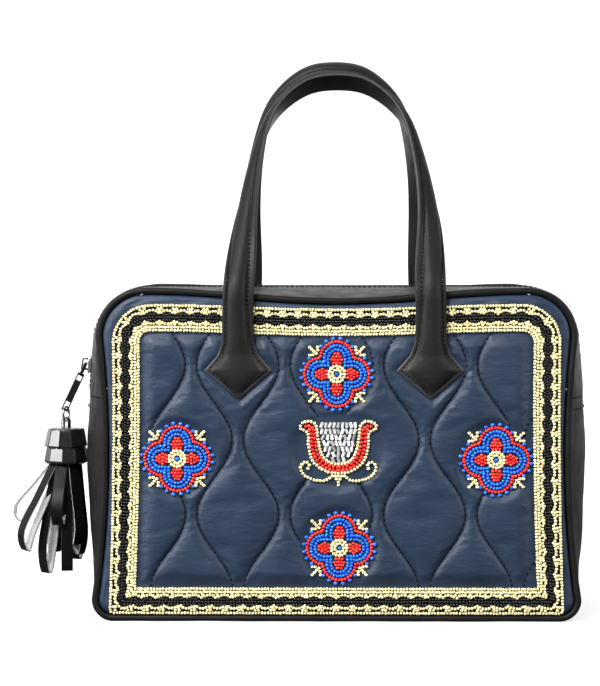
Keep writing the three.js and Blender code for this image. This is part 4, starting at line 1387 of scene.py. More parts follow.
@dataclass
class Gusset:
    """Black leather side, base and top walls, and the piping in their seams."""

    edge: float = 55.7
    step: float = 0.6
    top_bulge: float = 1.0
    side_bulge: float = 15.0
    bulge_start: float = 22.0
    join: float = 135.0
    join_gap: float = 0.7
    slot: float = 7.5
    piping: float = 2.0
    piping_sides: int = 12
    across: int = 37
    thread_lift: float = 0.1
    wobble: float = 0.03

    SEAMS = (2.2, 7.5)
    LUMPS = ((0.28, 42.0), (0.1, 15.0))
    WALL_SEED = 31
    TOP_SEED = 37
    PIPING_SEED = 51

    def offset(self, track: Track, depth: Any) -> Array:
        """How far the outer face stands outside the seam."""
        height = track.places[:, 1] + track.dips
        round_off = smoothstep(height, SEAM.bottom, self.bulge_start)
        step = lerp(SEAM.bottom, self.step, round_off)
        swell = self.top_bulge + self.side_bulge * np.sin(np.pi * np.clip(height, 0, SEAM.top) / SEAM.top)
        return step + (swell * round_off + track.dips) * (1 - (np.asarray(depth) / self.edge) ** 2)

    def on(self, track: Track, depth: float, lift: float) -> Array:
        """Points at one depth that stand on the outer face by a lift."""
        return track.off(depth, self.offset(track, depth) + lift)

    def wall(self, name: str, track: Track, depths: Array, seed: int) -> bpy.types.Object:
        """A leather wall along the seam, slightly uneven.

        Args:
            name: Name of the object.
            track: Run along the seam.
            depths: Depths across the wall.
            seed: Seed of its unevenness.

        Returns:
            The wall.
        """
        edge = np.minimum(depths - depths[0], depths[-1] - depths)
        calm = smoothstep(edge, 0.0, 9.0)
        outer = np.stack([self.on(track, depth, 0.0) for depth in depths], axis=1)
        places, height = outer.reshape(-1, 3), track.places[:, 1]
        lumps = sum(rise * ripples(places, wave, seed + i) for i, (rise, wave) in enumerate(self.LUMPS))
        steady = smoothstep(height, 8.0, 45.0) * (1 - 0.6 * smoothstep(height, 150.0, 190.0))
        shift = lumps.reshape(outer.shape[:2]) * calm * steady[:, None]
        normal = np.stack([track.outward[:, 0], np.zeros(len(track.places)), track.outward[:, 1]], axis=1)
        outer = outer + shift[..., None] * normal[:, None, :]
        rounded = 0.5 * (1 - smoothstep(edge, 0.0, 1.2))
        outer = outer - rounded[None, :, None] * normal[:, None, :]
        inner = np.stack([self.on(track, depth, -LEATHER) for depth in depths[::-1]], axis=1)
        return tube_object(name, np.concatenate([outer, inner], axis=1))

    def spread(self, low: float, high: float) -> Array:
        """Depths from low to high, closer together at both edges."""
        return lerp(low, high, eased(self.across, 0.75))

    def build(self, shop: Workshop) -> None:
        """Makes the walls, their stitches and both pipings."""
        black = shop.material(Wardrobe.BLACK)
        cradle = SEAM.cradle(self.join - self.join_gap)
        base = self.wall("gusset_base_leather", cradle, self.spread(-self.edge, self.edge), self.WALL_SEED)
        place(base, ["gusset_base"], Slot.BLACK, black)
        seeds = Seeds()
        depths = np.linspace(-self.edge + 3, self.edge - 3, 60)
        for end in (3, -4):
            spot = Track(cradle.places[[end]], cradle.dips[[end]], False)
            lifts = np.array([self.offset(spot, depth)[0] for depth in depths])
            flat = spot.places + cradle.outward[end] * (lifts[:, None] + self.thread_lift)
            seeds.path(np.stack([flat[:, 0], depths, flat[:, 1]], axis=1))
        shop.stitches("gusset_base_stitches", seeds, Wardrobe.BLACK_THREAD, "gusset_base", Slot.BLACK)
        arch = SEAM.arch(self.join)
        for face in Face:
            node = f"gusset_top_{face.label}"
            depths = self.spread(-self.edge, -self.slot)
            wall = self.wall(f"{node}_leather", arch, depths, self.TOP_SEED)
            wall.data.transform(Matrix.Diagonal((face.value, face.value, 1.0, 1.0)))
            place(wall, [node], Slot.BLACK, black)
            seeds = Seeds()
            for inward in self.SEAMS:
                seeds.path(face.turn(self.on(arch, -self.slot - inward, self.thread_lift)[4:-4]))
            shop.stitches(f"{node}_stitches", seeds, Wardrobe.BLACK_THREAD, node, Slot.BLACK)
            self.pipe(shop, face)

    def pipe(self, shop: Workshop, face: Face) -> None:
        """Makes one piping, a leather-covered cord round the panel."""
        loop = SEAM.loop()
        angles = np.linspace(0, 2 * math.pi, self.piping_sides, endpoint=False)
        radius = self.piping * (1 + self.wobble * ripples(loop.places, 26.0, self.PIPING_SEED))
        rings = [loop.off(-SEAM_DEPTH + radius * math.cos(a), radius * math.sin(a)) for a in angles]
        node = f"piping_{face.label}"
        tube = tube_object(f"{node}_leather", face.turn(np.stack(rings, axis=1)), closed=True)
        place(tube, [node], Slot.BLACK, shop.material(Wardrobe.BLACK))


@dataclass
class ZipFastener:
    """Woven tape with closed teeth along its middle, and the slider on it."""

    gusset: Gusset
    tape_half: float = 15.0
    tape: float = 1.0
    teeth_rise: float = 2.2
    end: float = 2.0
    gap: float = 0.3
    pitch: float = 1.5
    tooth_reach: float = 3.6
    tooth_width: float = 1.05
    tooth_shift: float = 0.9
    slider_rounding: float = 0.35

    def build(self, shop: Workshop) -> None:
        """Makes the tape, the teeth and the slider."""
        arch = SEAM.arch(self.gusset.join + self.end)
        under = -LEATHER - self.gap
        depths = np.linspace(-self.tape_half, self.tape_half, 13)
        outer = np.stack([self.gusset.on(arch, depth, under) for depth in depths], axis=1)
        inner = np.stack([self.gusset.on(arch, depth, under - self.tape) for depth in depths[::-1]], axis=1)
        tape = tube_object("zip_tape_cloth", np.concatenate([outer, inner], axis=1))
        place(tape, ["zip"], Slot.TAPE, shop.material(Wardrobe.TAPE))
        seeds = Seeds()
        seeds.path(self.gusset.on(arch, 0.0, under + self.teeth_rise / 2))
        values = {"Pitch": self.pitch * MM, "Reach": self.tooth_reach * MM, "Width": self.tooth_width * MM,
                  "Rise": self.teeth_rise * MM, "Shift": self.tooth_shift * MM,
                  "Seed": shop.next_seed(), "Material": shop.material(Wardrobe.GUNMETAL)}
        place(shop.teeth.grow("zip_teeth", seeds, values), ["zip"], Slot.TAPE)
        slider = softened("zip_slider", "zip_slider_plated", self.slider_rounding)
        place(slider, ["zip_slider"], Slot.METAL, shop.material(Wardrobe.CHROME))


MERGE_DISTANCE = 1e-6
FLAT_ANGLE = math.radians(4)
ROUNDED_ANGLE = math.radians(25)
SHARP_ANGLE = math.radians(50)


def softened(node: str, name: str, width: float) -> bpy.types.Object:
    """A copy of a solid with its edges rounded.

    Args:
        node: Name of the solid.
        name: Name of the new object.
        width: Width of the rounding, in millimetres.

    Returns:
        The new object.
    """
    shape = bmesh.new()
    shape.from_mesh(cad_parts[node].data)
    bmesh.ops.remove_doubles(shape, verts=shape.verts, dist=MERGE_DISTANCE)
    bmesh.ops.dissolve_limit(shape, angle_limit=FLAT_ANGLE, verts=shape.verts, edges=shape.edges)
    mesh = bpy.data.meshes.new(name)
    shape.to_mesh(mesh)
    shape.free()
    made = linked(name, mesh)
    bevel = made.modifiers.new("rounding", "BEVEL")
    bevel.width = width * MM
    bevel.segments = 3
    bevel.limit_method = "ANGLE"
    bevel.angle_limit = ROUNDED_ANGLE
    rounded = applied(made, bevel)
    rounded.shade_smooth()
    rounded.set_sharp_from_angle(angle=SHARP_ANGLE)
    return made


@dataclass
class ZipPull:
    """The hanging zip pull: bar, ring and tassel of looped strips."""

    ring_centre: tuple[float, float, float] = (-169.39, 0.0, 120.77)
    ring_radius: float = 4.6
    ring_wire: float = 0.8
    ring_turn: float = math.radians(75.0)
    head_top: float = 111.0
    strip_width: float = 7.2
    strip_thick: float = 1.3
    strip_steps: int = 44
    head_facets: int = 10
    head_sides: int = 160
    facet_turn: tuple[float, float] = (math.radians(5.0), math.radians(14.0))
    band_start: float = 11.4
    lap: float = 0.5
    notch: float = 0.14
    notch_width: float = 0.07
    root: float = 8.6
    back_root: float = 3.0
    tuck: float = 1.2
    bow: float = 8.0
    hanger_half: float = 1.75
    hanger_width: float = 4.0
    hanger_thick: float = 1.2
    hanger_lift: float = 2.1
    bar_rounding: float = 0.4

    HEAD = ((0, -1.8), (5, -1.7), (9.6, -1.3), (11.0, -0.7), (11.5, 0.1), (11.7, 0.9), (13.2, 9.6), (13.0, 10.3),
            (12.2, 10.7), (12.2, 11.1), (12.4, 11.5), (12.6, 12.2), (13.8, 19.0), (13.6, 20.2), (12.2, 21.3),
            (0, 21.6))
    LOOPS = ((0, 32, 36), (36, 32, 53), (48, 20, 68), (77, 18, 37), (98, 12.5, 67), (128, 16, 50), (156, 13, 57),
             (238, 13, 62), (306, 19, 58))
    STRIP = ((-1, 0.7, 1, 0), (-0.97, 1, 1, 0), (-0.94, 1, 0, 1), (0, 1, 0, 1), (0.94, 1, 0, 1), (0.97, 1, 1, 0),
             (1, 0.7, 1, 0), (1, -0.1, 1, 0), (1, -0.25, 0, 0), (0.97, -1, 0, 0), (0, -1, 0, 0), (-0.97, -1, 0, 0),
             (-1, -0.25, 0, 0), (-1, -0.1, 1, 0))

    def ring_axes(self) -> tuple[Array, Array]:
        """Level directions in the plane of the ring and square to it."""
        across, ahead = math.cos(self.ring_turn), math.sin(self.ring_turn)
        return np.array([across, ahead, 0.0]), np.array([-ahead, across, 0.0])

    def ring(self) -> bpy.types.Object:
        """The round wire ring, with the line where its ends meet."""
        turns = np.linspace(0, 2 * math.pi, 48, endpoint=False)
        angles = np.linspace(0, 2 * math.pi, 14, endpoint=False)
        wire = self.ring_wire * (1 - self.notch * np.exp(-((turns - math.pi) / self.notch_width) ** 2))
        reach = self.ring_radius + wire[:, None] * np.cos(angles)
        along, beside = self.ring_axes()
        out, up = reach * np.cos(turns)[:, None], reach * np.sin(turns)[:, None]
        off = wire[:, None] * np.sin(angles)
        sections = out[..., None] * along + off[..., None] * beside + up[..., None] * UP
        return tube_object("pull_ring_plated", sections + np.array(self.ring_centre), closed=True)

    def strip(self, name: str, path: Array, aim: Array, width: float, thick: float) -> bpy.types.Object:
        """A leather strip along a path in a vertical plane, with its edges and its lining marked.

        Args:
            name: Name of the object.
            path: Places away from and above the tassel's origin.
            aim: Direction that leads away from the tassel's middle.
            width: Width of the strip.
            thick: Thickness of the strip.

        Returns:
            The strip.
        """
        run = directions(path)
        side = np.cross(aim, UP)
        corners = [(along * width / 2, across * thick / 2) for along, across, _, _ in self.STRIP]
        sections = np.stack([
            (path[:, :1] + run[:, 1:] * across) * aim + (path[:, 1:] - run[:, :1] * across) * UP + along * side
            for along, across in corners], axis=1)
        origin = np.array([self.ring_centre[0], 0.0, self.head_top])
        made = tube_object(name, sections + origin)
        for key, column in (("edge", 2), ("lining", 3)):
            values = np.tile([float(corner[column]) for corner in self.STRIP], len(path))
            made.data.attributes.new(key, "FLOAT", "POINT").data.foreach_set("value", values)
        return made

    def head(self) -> bpy.types.Object:
        """The bound head, wrapped flat by flat by two strips."""
        profile = np.array(self.HEAD, float)
        turns = np.linspace(0, 2 * math.pi, self.head_sides, endpoint=False)
        origin = np.array([self.ring_centre[0], 0.0, self.head_top])
        flat = math.pi / self.head_facets
        rings = []
        for radius, down in profile[1:-1]:
            band = float(down > self.band_start)
            across = (turns - self.facet_turn[int(band)]) % (2 * flat) - flat
            facet = lerp(1.0, math.cos(flat) / np.cos(across), smoothstep(radius, 8.0, 12.4))
            lap = self.lap * smoothstep(np.sin(turns - 2.0 - 2.6 * band), 0.55, 0.62) * float(radius > 12.2)
            reach = radius * facet + lap
            level = np.full_like(turns, -down)
            rings.append(np.stack([reach * np.cos(turns), reach * np.sin(turns), level], axis=1))
        vertices = np.vstack([*rings, [[0, 0, -profile[0, 1]]], [[0, 0, -profile[-1, 1]]]]) + origin
        count, sides = len(rings), self.head_sides
        faces = band_faces(count, sides)
        top, foot = count * sides, count * sides + 1
        for j in range(sides):
            after = (j + 1) % sides
            faces.append((top, j, after))
            faces.append((foot, (count - 1) * sides + after, (count - 1) * sides + j))
        return new_object("tassel_head", vertices, faces, 16)

    def loops(self) -> list[bpy.types.Object]:
        """The looped strips and the hanger through the ring."""
        foot = self.HEAD[-1][1]
        made = []
        for turn, reach, drop_by in self.LOOPS:
            angle = math.radians(turn)
            aim = np.array([-math.cos(angle), -math.sin(angle), 0.0])
            back = reach - self.bow
            path = [(self.root, foot - self.tuck), (lerp(self.root, reach, 0.5), foot + 0.36 * drop_by),
                    (reach, foot + 0.76 * drop_by), (reach - 3.4, foot + drop_by), (back, foot + 0.78 * drop_by),
                    (lerp(self.back_root, back, 0.4), foot + 0.3 * drop_by), (self.back_root, foot - self.tuck)]
            smooth = spline([(away, -down) for away, down in path], self.strip_steps)
            made.append(self.strip("tassel_strip", smooth, aim, self.strip_width, self.strip_thick))
        top = self.ring_centre[2] - self.ring_radius + self.hanger_lift - self.head_top
        half, bend = self.hanger_half, top - self.hanger_half
        hang = spline([(-half, 1.0), (-half, bend), (0.0, top), (half, bend), (half, 1.0)], 30)
        beside = self.ring_axes()[1]
        made.append(self.strip("tassel_hanger", hang, beside, self.hanger_width, self.hanger_thick))
        return made

    def build(self, shop: Workshop) -> None:
        """Makes the bar, the ring and the tassel."""
        chrome = shop.material(Wardrobe.CHROME)
        bar = softened("pull_bar", "pull_bar_plated", self.bar_rounding)
        place(bar, ["pull_bar"], Slot.METAL, shop.material(Wardrobe.GUNMETAL), PULL)
        place(self.ring(), ["pull_ring"], Slot.METAL, chrome, PULL)
        place(self.head(), ["tassel"], Slot.PATENT, shop.material(Wardrobe.LACQUER), PULL)
        loops = joined("tassel_strips", self.loops())
        place(loops, ["tassel"], Slot.PATENT, shop.material(Wardrobe.PATENT), PULL)


@dataclass
class Handle:
    """A padded strap handle with two diamond tabs, and its stitches."""

    face: Face
    lean: float
    sway: float
    shift: float = 0.0
    sway_height: float = 60.0
    width: float = 18.5
    edge: float = 2.4
    core: float = 5.6
    back: float = 0.5
    foot_depth: float = 63.2
    arch_foot: float = 194.0
    bend: float = 30.0
    twist_start: float = 0.07
    twist_ease: float = 2.2
    steps: int = 90
    fill: float = 0.85

    outer_margin: float = 2.5
    inner_margin: float = 4.2
    tab_margin: float = 2.3
    evenness: float = 0.6
    points: int = 41
    # How much light edge colour is mixed in: full at the cut edges (part edge colour, part painted highlight),
    # painted highlight on the flanges and faintly over the face, strongest on the tabs.
    rub_tab: float = 1.0
    rub_strap: float = 0.2
    rub_flange: float = 0.15
    rub_core: float = 0.035
    rub_fade: tuple[float, float] = (156.0, 176.0)
    seam_out: float = 0.55
    seam_rise: float = 0.12
    groove: float = 0.15
    groove_width: float = 0.55
    rim_drop: float = 0.55
    rim_width: float = 0.8
    stitch: float = 2.7
    thread: float = 0.5

    TAB = ((135.4, 2.4, 1.5, 1.5, 0.35, 1.5, 0.8), (138.6, 9.65, 1.5, 1.8, 0.35, 1.48, 0.8),
           (141.5, 16.2, 1.5, 3.6, 0.35, 1.46, 0.75), (144.5, 23.0, 1.5, 5.2, 0.35, 1.44, 0.7),
           (148, 30.9, 1.5, 6.4, 0.35, 1.43, 0.65), (152, 40, 1.5, 6.9, 0.35, 1.42, 0.6),
           (156, 33.1, 1.55, 6.9, 0.5, 1.3, 0.6), (161, 24.5, 1.6, 6.6, 0.7, 1.2, 0.6),
           (169, 18.8, 1.9, 5.8, 2.4, 1.05, 0.6))
    ARCH = ((57.5, 0), (54.7, 52), (48.3, 93), (38.2, 125), (20, 144), (0, 148.5))
    SEWN = 60.8

    def section(self, middle: Array, across: Array, normal: Array, sizes: Sequence[float]) -> Array:
        """One closed section of the strap: sewn edges, raised core, slightly full back.

        Args:
            middle: Middle of the back.
            across: Direction from the outer edge to the inner one.
            normal: Direction that the padded face looks in.
            sizes: Width, thickness at the edges and at the core, fullness of the back, the distance of the
                core from the outer and from the inner edge, and how evenly the core is rounded, up to 1.

        Returns:
            The section's points.
        """
        width, edge, core, back, outer, inner, evenness = sizes
        share = eased(self.points, 0.4) - 0.5
        from_outer, from_inner = (0.5 + share) * width, (0.5 - share) * width
        rim = np.minimum(from_outer, from_inner)
        inward = np.clip((from_outer - outer) / max(width - outer - inner, 0.1), 0, 1)
        dome = (4 * inward * (1 - inward)) ** evenness
        seams = (from_outer - outer, from_inner - inner)
        sewn = sum(np.exp(-(away / self.groove_width) ** 2) for away in seams)
        groove = self.groove * sewn * np.clip(width / 18, 0, 1)
        rounding = 1 - self.rim_drop * (1 - np.clip(rim / self.rim_width, 0, 1)) ** 2
        face = edge * rounding + (core - edge) * dome - groove
        under = -back * (1 - (2 * share[::-1]) ** 2) + 0.35 * edge * (1 - rounding[::-1])
        rises = np.concatenate([face, under])
        places = np.concatenate([share, share[::-1]]) * width
        return middle + places[:, None] * across + rises[:, None] * normal

    def tab_stations(self) -> list[Station]:
        """Sections of the left tab, from its tip up to the strap."""
        rows = np.array(self.TAB)
        tip, top = rows[0, 0], rows[-1, 0]
        lower, upper = np.linspace(tip, TAB_MIDDLE, 14), np.linspace(TAB_MIDDLE, top, 15)
        stations = []
        for height in (*lower, *upper[1:]):
            sizes = (float(np.interp(height, rows[:, 0], row)) for row in rows.T[1:])
            width, edge, core, lift, skew, even = sizes
            margin = self.tab_margin * skew
            middle = np.array([-HANDLE_OUT, -self.SEWN - lift, height])
            sizes = (width, edge, core, 0.0, margin, margin, even)
            stations.append((middle, np.array([1.0, 0, 0]), np.array([0, -1.0, 0]), sizes))
        return stations

    def arch_stations(self) -> list[Station]:
        """Sections of the strap from the left tab to the middle of the arch."""
        right = [(-out, up) for out, up in self.ARCH[:-1]][::-1]
        path = spline([(-out, up) for out, up in (*self.ARCH, *right)], 2 * self.steps - 1)
        runs = directions(path)
        sizes = (self.width, self.edge, self.core, self.back, self.outer_margin, self.inner_margin, self.evenness)
        stations = []
        for i in range(self.steps):
            share = i / (self.steps - 1)
            up = path[i, 1]
            angle = min(max(up / self.bend, 0.0), self.lean)
            straight = max(up - self.bend * self.lean, 0.0)
            depth = self.bend * (1 - math.cos(angle)) + straight * math.sin(angle)
            height = self.bend * math.sin(angle) + straight * math.cos(angle)
            upward = np.array([0, math.sin(angle), math.cos(angle)])
            facing = np.array([0, -math.cos(angle), math.sin(angle)])
            along = np.array([1.0, 0, 0]) * runs[i, 0] + upward * runs[i, 1]
            outward = np.array([1.0, 0, 0]) * -runs[i, 1] + upward * runs[i, 0]
            turned = min(max((share - self.twist_start) / (1 - self.twist_start), 0.0), 1.0)
            twist = math.pi / 2 * (1 - (1 - turned) ** self.twist_ease)
            normal = facing * math.cos(twist) + outward * math.sin(twist)
            across = -np.cross(normal, along)
            middle = np.array([path[i, 0], depth - self.foot_depth, self.arch_foot + height])
            stations.append((middle, across, normal, sizes))
        return stations

    def stations(self) -> list[Station]:
        """Sections of the left half, from the tip of its tab to the middle of the arch."""
        tab, arch = self.tab_stations(), self.arch_stations()
        last, first = tab[-1], arch[0]
        between = []
        for share in np.linspace(0, 1, 9)[1:-1]:
            sizes = tuple(lerp(np.array(last[3]), np.array(first[3]), share))
            between.append((lerp(last[0], first[0], share), first[1], first[2], sizes))
        return [*tab, *between, *arch]

    def seams(self, stations: list[Station]) -> list[Array]:
        """Stitch lines of the left half, a little inside both edges."""
        lines = []
        for hand in (-1, 1):
            points = []
            for middle, across, normal, (width, edge, _, _, outer, inner, _) in stations[3:]:
                reach = max(width / 2 - (outer if hand < 0 else inner) + self.seam_out, 0.0)
                points.append(middle + hand * reach * across + (edge + self.seam_rise) * normal)
            lines.append(np.array(points))
        return lines

    def whole(self, left: Array) -> Array:
        """Both halves of something on the handle, from its left half, with the arch swayed to one side."""
        points = np.concatenate([left, left[-2::-1] * np.array([-1.0, 1.0, 1.0])])
        swayed = smoothstep(points[..., 2], self.arch_foot, self.arch_foot + self.sway_height)
        points[..., 0] += self.shift + self.sway * swayed
        return self.face.turn(points)

    def build(self, shop: Workshop) -> None:
        """Makes the strap with its tabs, and its stitches."""
        node = f"handle_{self.face.label}"
        stations = self.stations()
        sections = self.whole(np.array([self.section(*station) for station in stations]))
        strap = tube_object(f"{node}_leather", sections)
        # Per-point share of the light edge colour: cut edges are part edge colour and part painted highlight;
        # flanges and padded face get painted highlight, fading from tabs to strap.
        lightened = np.zeros(2 * self.points)
        lightened[:self.points] = self.rub_core
        lightened[1:7] = lightened[self.points - 9:self.points - 1] = self.rub_flange
        lightened[[0, self.points - 1, self.points, -1]] = 1.0
        heights = np.array([station[0][2] for station in stations])
        share = lerp(self.rub_tab, self.rub_strap, smoothstep(heights, *self.rub_fade))
        wear_and_sheen = np.outer(np.concatenate([share, share[-2::-1]]), lightened).ravel()
        strap.data.attributes.new("rub", "FLOAT", "POINT").data.foreach_set("value", wear_and_sheen)
        place(strap, [node], Slot.BLACK, shop.material(Wardrobe.BLACK))
        seeds = Seeds()
        for line in self.seams(stations):
            seeds.path(self.whole(line))
        shop.stitches(f"{node}_stitches", seeds, Wardrobe.BLACK_THREAD, node, Slot.BLACK, self.stitch, self.thread)


@dataclass
class BeadBorder:
    """The beaded band round the front: cream rows and scallops on either side of a black chain."""

    surface: QuiltedSurface
    margin: float = 0.95
    span: float = 14.75
    period: float = 9.2
    outer_cusp: float = 4.7
    outer_bulge: float = 2.85
    inner_cusp: float = 5.3
    inner_bulge: float = 3.65
    lift: float = 0.95
    radius: float = 1.0
    pitch: float = 1.86
    backing: float = 0.35

    OUTER_FILL = ((-1.0, 1.85), (1.0, 1.85), (0.0, 3.1))
    INNER_FILL = ((-1.9, 2.0), (0.0, 1.85), (1.9, 2.0), (0.0, 3.6))
    CREST_FILL = ((-0.9, 1.8), (0.9, 1.8))

    def __post_init__(self) -> None:
        """Lays out the band's two edges and the distance along its middle."""
        self.outer = BORDER.inset(self.margin).loop().places
        self.inner = BORDER.inset(self.margin + self.span).loop().places
        middle = (self.outer + self.inner) / 2
        self.run = arc_lengths(np.vstack([middle, middle[:1]]))
        self.count = round(self.run[-1] / self.period)
        self.wave = self.run[-1] / self.count

    def at(self, run: Any, across: Any) -> Array:
        """Places on the panel at a distance along the band and a distance in from its outer row."""
        run = np.asarray(run, float) % self.run[-1]
        share = np.asarray(across, float) / self.span
        flat = []
        for axis in (0, 1):
            edges = [np.append(edge[:, axis], edge[0, axis]) for edge in (self.outer, self.inner)]
            first, last = (np.interp(run, self.run, edge) for edge in edges)
            flat.append(lerp(first, last, share))
        return self.surface.on(flat[0], flat[1], self.lift)

    def swell(self, run: Array) -> Array:
        """1 in the middle of a scallop, 0 at its cusps."""
        return np.abs(np.sin(np.pi * run / self.wave))

    def scallop(self, run: Array, inner: bool) -> Array:
        """Distance of a scalloped row from the straight row on its side."""
        cusp, bulge = (self.inner_cusp, self.inner_bulge) if inner else (self.outer_cusp, self.outer_bulge)
        return lerp(cusp, bulge, self.swell(run))

    def cream(self, inner: bool) -> Seeds:
        """Cream rows and fill on one side of the black chain."""
        seeds = Seeds()
        run = np.linspace(0, self.run[-1], 3000, endpoint=False)
        flip = (lambda across: self.span - across) if inner else (lambda across: across)
        seeds.path(self.at(run, flip(np.zeros_like(run))), closed=True)
        seeds.path(self.at(run, flip(self.scallop(run, inner))), closed=True)
        cusps = np.arange(self.count) * self.wave
        fill = self.OUTER_FILL
        if inner:
            crest = self.wave / 2
            fill = (*self.INNER_FILL, *((crest + shift, across) for shift, across in self.CREST_FILL))
        for shift, across in fill:
            seeds.scatter(self.at(cusps + shift, flip(np.full_like(cusps, across))))
        return seeds

    def black(self) -> Seeds:
        """The black chain, row by row, as wide as the scallops leave it."""
        seeds = Seeds()
        count = round(self.run[-1] / self.pitch)
        for row in range(-2, 3):
            run = (np.arange(count) + 0.5 * (row % 2)) * self.run[-1] / count
            low = self.scallop(run, False) + 0.85 * self.pitch
            high = self.span - self.scallop(run, True) - 0.85 * self.pitch
            across = (low + high) / 2 + 0.86 * self.pitch * row
            kept = ((across >= low) & (across <= high)) | (row == 0)
            seeds.scatter(self.at(run[kept], across[kept]))
        return seeds

    def felt(self) -> bpy.types.Object:
        """The dark felt that the beads are sewn on; its black also stands for the shade in the gaps between them,
        a painted shade.
        """
        run = np.linspace(0, self.run[-1], 700, endpoint=False)
        across = np.linspace(-0.5, self.span + 0.5, 13)
        face = np.stack([self.at(run, np.full_like(run, v)) for v in across], axis=1)
        face[:, :, 1] += self.lift - self.backing
        under = face[:, ::-1] + np.array([0.0, self.backing + 0.1, 0.0])
        return tube_object("bead_border_felt", np.concatenate([face, under], axis=1), closed=True)

    def build(self, shop: Workshop) -> None:
        """Makes the felt (part backing, part painted shade between the beads), the cream and the black beads."""
        place(self.felt(), ["bead_border"], Slot.BLACK_BEADS, shop.material(Wardrobe.BACKING))
        for inner in (False, True):
            name = "bead_border_cream_inner" if inner else "bead_border_cream_outer"
            shop.beads(name, self.cream(inner), Bead.CREAM, "bead_border", self.radius, self.pitch)
        shop.beads("bead_border_black", self.black(), Bead.BLACK, "bead_border", self.radius, self.pitch)


@dataclass
class Beadwork:
    """Beads sewn on the panel about a centre, kind by kind."""

    surface: QuiltedSurface
    centre: tuple[float, float]
    lift: float = 0.85
    seeds: dict[Bead, Seeds] = field(default_factory=dict)

    def at(self, places: Any) -> Array:
        """Local places, set on the panel."""
        flat = np.asarray(places, float).reshape(-1, 2) + np.array(self.centre)
        return self.surface.on(flat[:, 0], flat[:, 1], self.lift)

    def string(self, kind: Bead, places: Any, closed: bool = False) -> None:
        """Adds a string of beads along local places."""
        dense = np.asarray(places, float)
        if closed:
            dense = np.vstack([dense, dense[:1]])
        dense = resample(dense, max(12, int(arc_lengths(dense)[-1] * 3)), endpoint=not closed)
        self.seeds.setdefault(kind, Seeds()).path(self.at(dense), closed)

    def single(self, kind: Bead, places: Any) -> None:
        """Adds single beads at local places."""
        self.seeds.setdefault(kind, Seeds()).scatter(self.at(places))


@dataclass
class Rosette(Beadwork):
    """A four-lobed rosette: cream eye, red petals, blue and red outlines, and cream sprigs between its lobes."""

    name: str = "top"
    lobe: float = 9.6
    outline: float = 9.8
    outer_row: float = 7.5
    inner_row: float = 5.1
    pitch: float = 1.95
    radius: float = 1.1
    picot: float = 1.26
    picot_out: float = 11.8
    picot_step: float = math.radians(21.5)

    EYE = (2.75, 4.75)
    PETAL = ((6.6, 0), (6.6, 1.95), (6.6, -1.95), (8.5, 1.0), (8.5, -1.0), (8.6, 2.95), (8.6, -2.95), (10.4, 0),
             (10.4, 1.95), (10.4, -1.95), (12.2, 1.0), (12.2, -1.0))
    SPRIG = ((17.3, 0), (19.2, 0), (21.0, 0), (22.8, 0), (18.2, 2.1), (19.5, 3.5), (18.2, -2.1), (19.5, -3.5))
    TURNS = tuple(math.pi / 2 * lobe for lobe in range(4))

    def on_lobe(self, turn: float, radius: float, angles: Any) -> Array:
        """Places on a circle about the middle of a lobe."""
        angles = np.asarray(angles, float)
        middle = self.lobe * np.array([math.cos(turn), math.sin(turn)])
        return middle + radius * np.stack([np.cos(angles), np.sin(angles)], axis=-1)

    def quatrefoil(self, radius: float) -> Array:
        """A closed outline of four round lobes."""
        square = 2 * radius**2 - self.lobe**2
        reach = (self.lobe + math.sqrt(max(square, 0.0))) / 2
        sweep = math.atan2(reach, reach - self.lobe)
        angles = np.linspace(-sweep, sweep, 40)
        return np.vstack([self.on_lobe(turn, radius, turn + angles) for turn in self.TURNS])

    def arches(self, radius: float) -> Array:
        """A closed outline of four arches on straight legs."""
        arch = self.on_lobe(0.0, radius, np.linspace(-math.pi / 2, math.pi / 2, 24))
        leg = np.vstack([[(radius, -radius)], arch])
        return np.vstack([spun(leg, turn) for turn in self.TURNS])

    def lay_out(self) -> None:
        """Places every bead of the rosette."""
        self.string(Bead.RED, self.quatrefoil(self.outline), closed=True)
        self.string(Bead.BLUE, self.quatrefoil(self.outer_row), closed=True)
        self.string(Bead.BLUE, self.arches(self.inner_row), closed=True)
        circle = np.linspace(0, 2 * math.pi, 60, endpoint=False)
        for radius in self.EYE:
            self.string(Bead.CREAM, radius * np.stack([np.cos(circle), np.sin(circle)], axis=1), closed=True)
        self.single(Bead.BLUE, [(0.0, 0.0)])
        for turn in self.TURNS:
            self.single(Bead.RED, spun(self.PETAL, turn))
            self.single(Bead.CREAM, spun(self.SPRIG, turn + math.pi / 4))

    def picots(self) -> Seeds:
        """Larger single beads round the lobes."""
        steps = self.picot_step * (np.arange(6) - 2.5)
        rings = [self.on_lobe(turn, self.picot_out, turn + steps) for turn in self.TURNS]
        seeds = Seeds()
        seeds.scatter(self.at(np.vstack([[(0.0, 0.0)], *rings])))
        return seeds

    def build(self, shop: Workshop) -> None:
        """Makes the rosette's beads."""
        self.lay_out()
        node = f"bead_rosette_{self.name}"
        for kind, seeds in self.seeds.items():
            shop.beads(f"{node}_{kind.name.lower()}", seeds, kind, node, self.radius, self.pitch)
        shop.beads(f"{node}_picots", self.picots(), Bead.BLUE, node, self.picot)


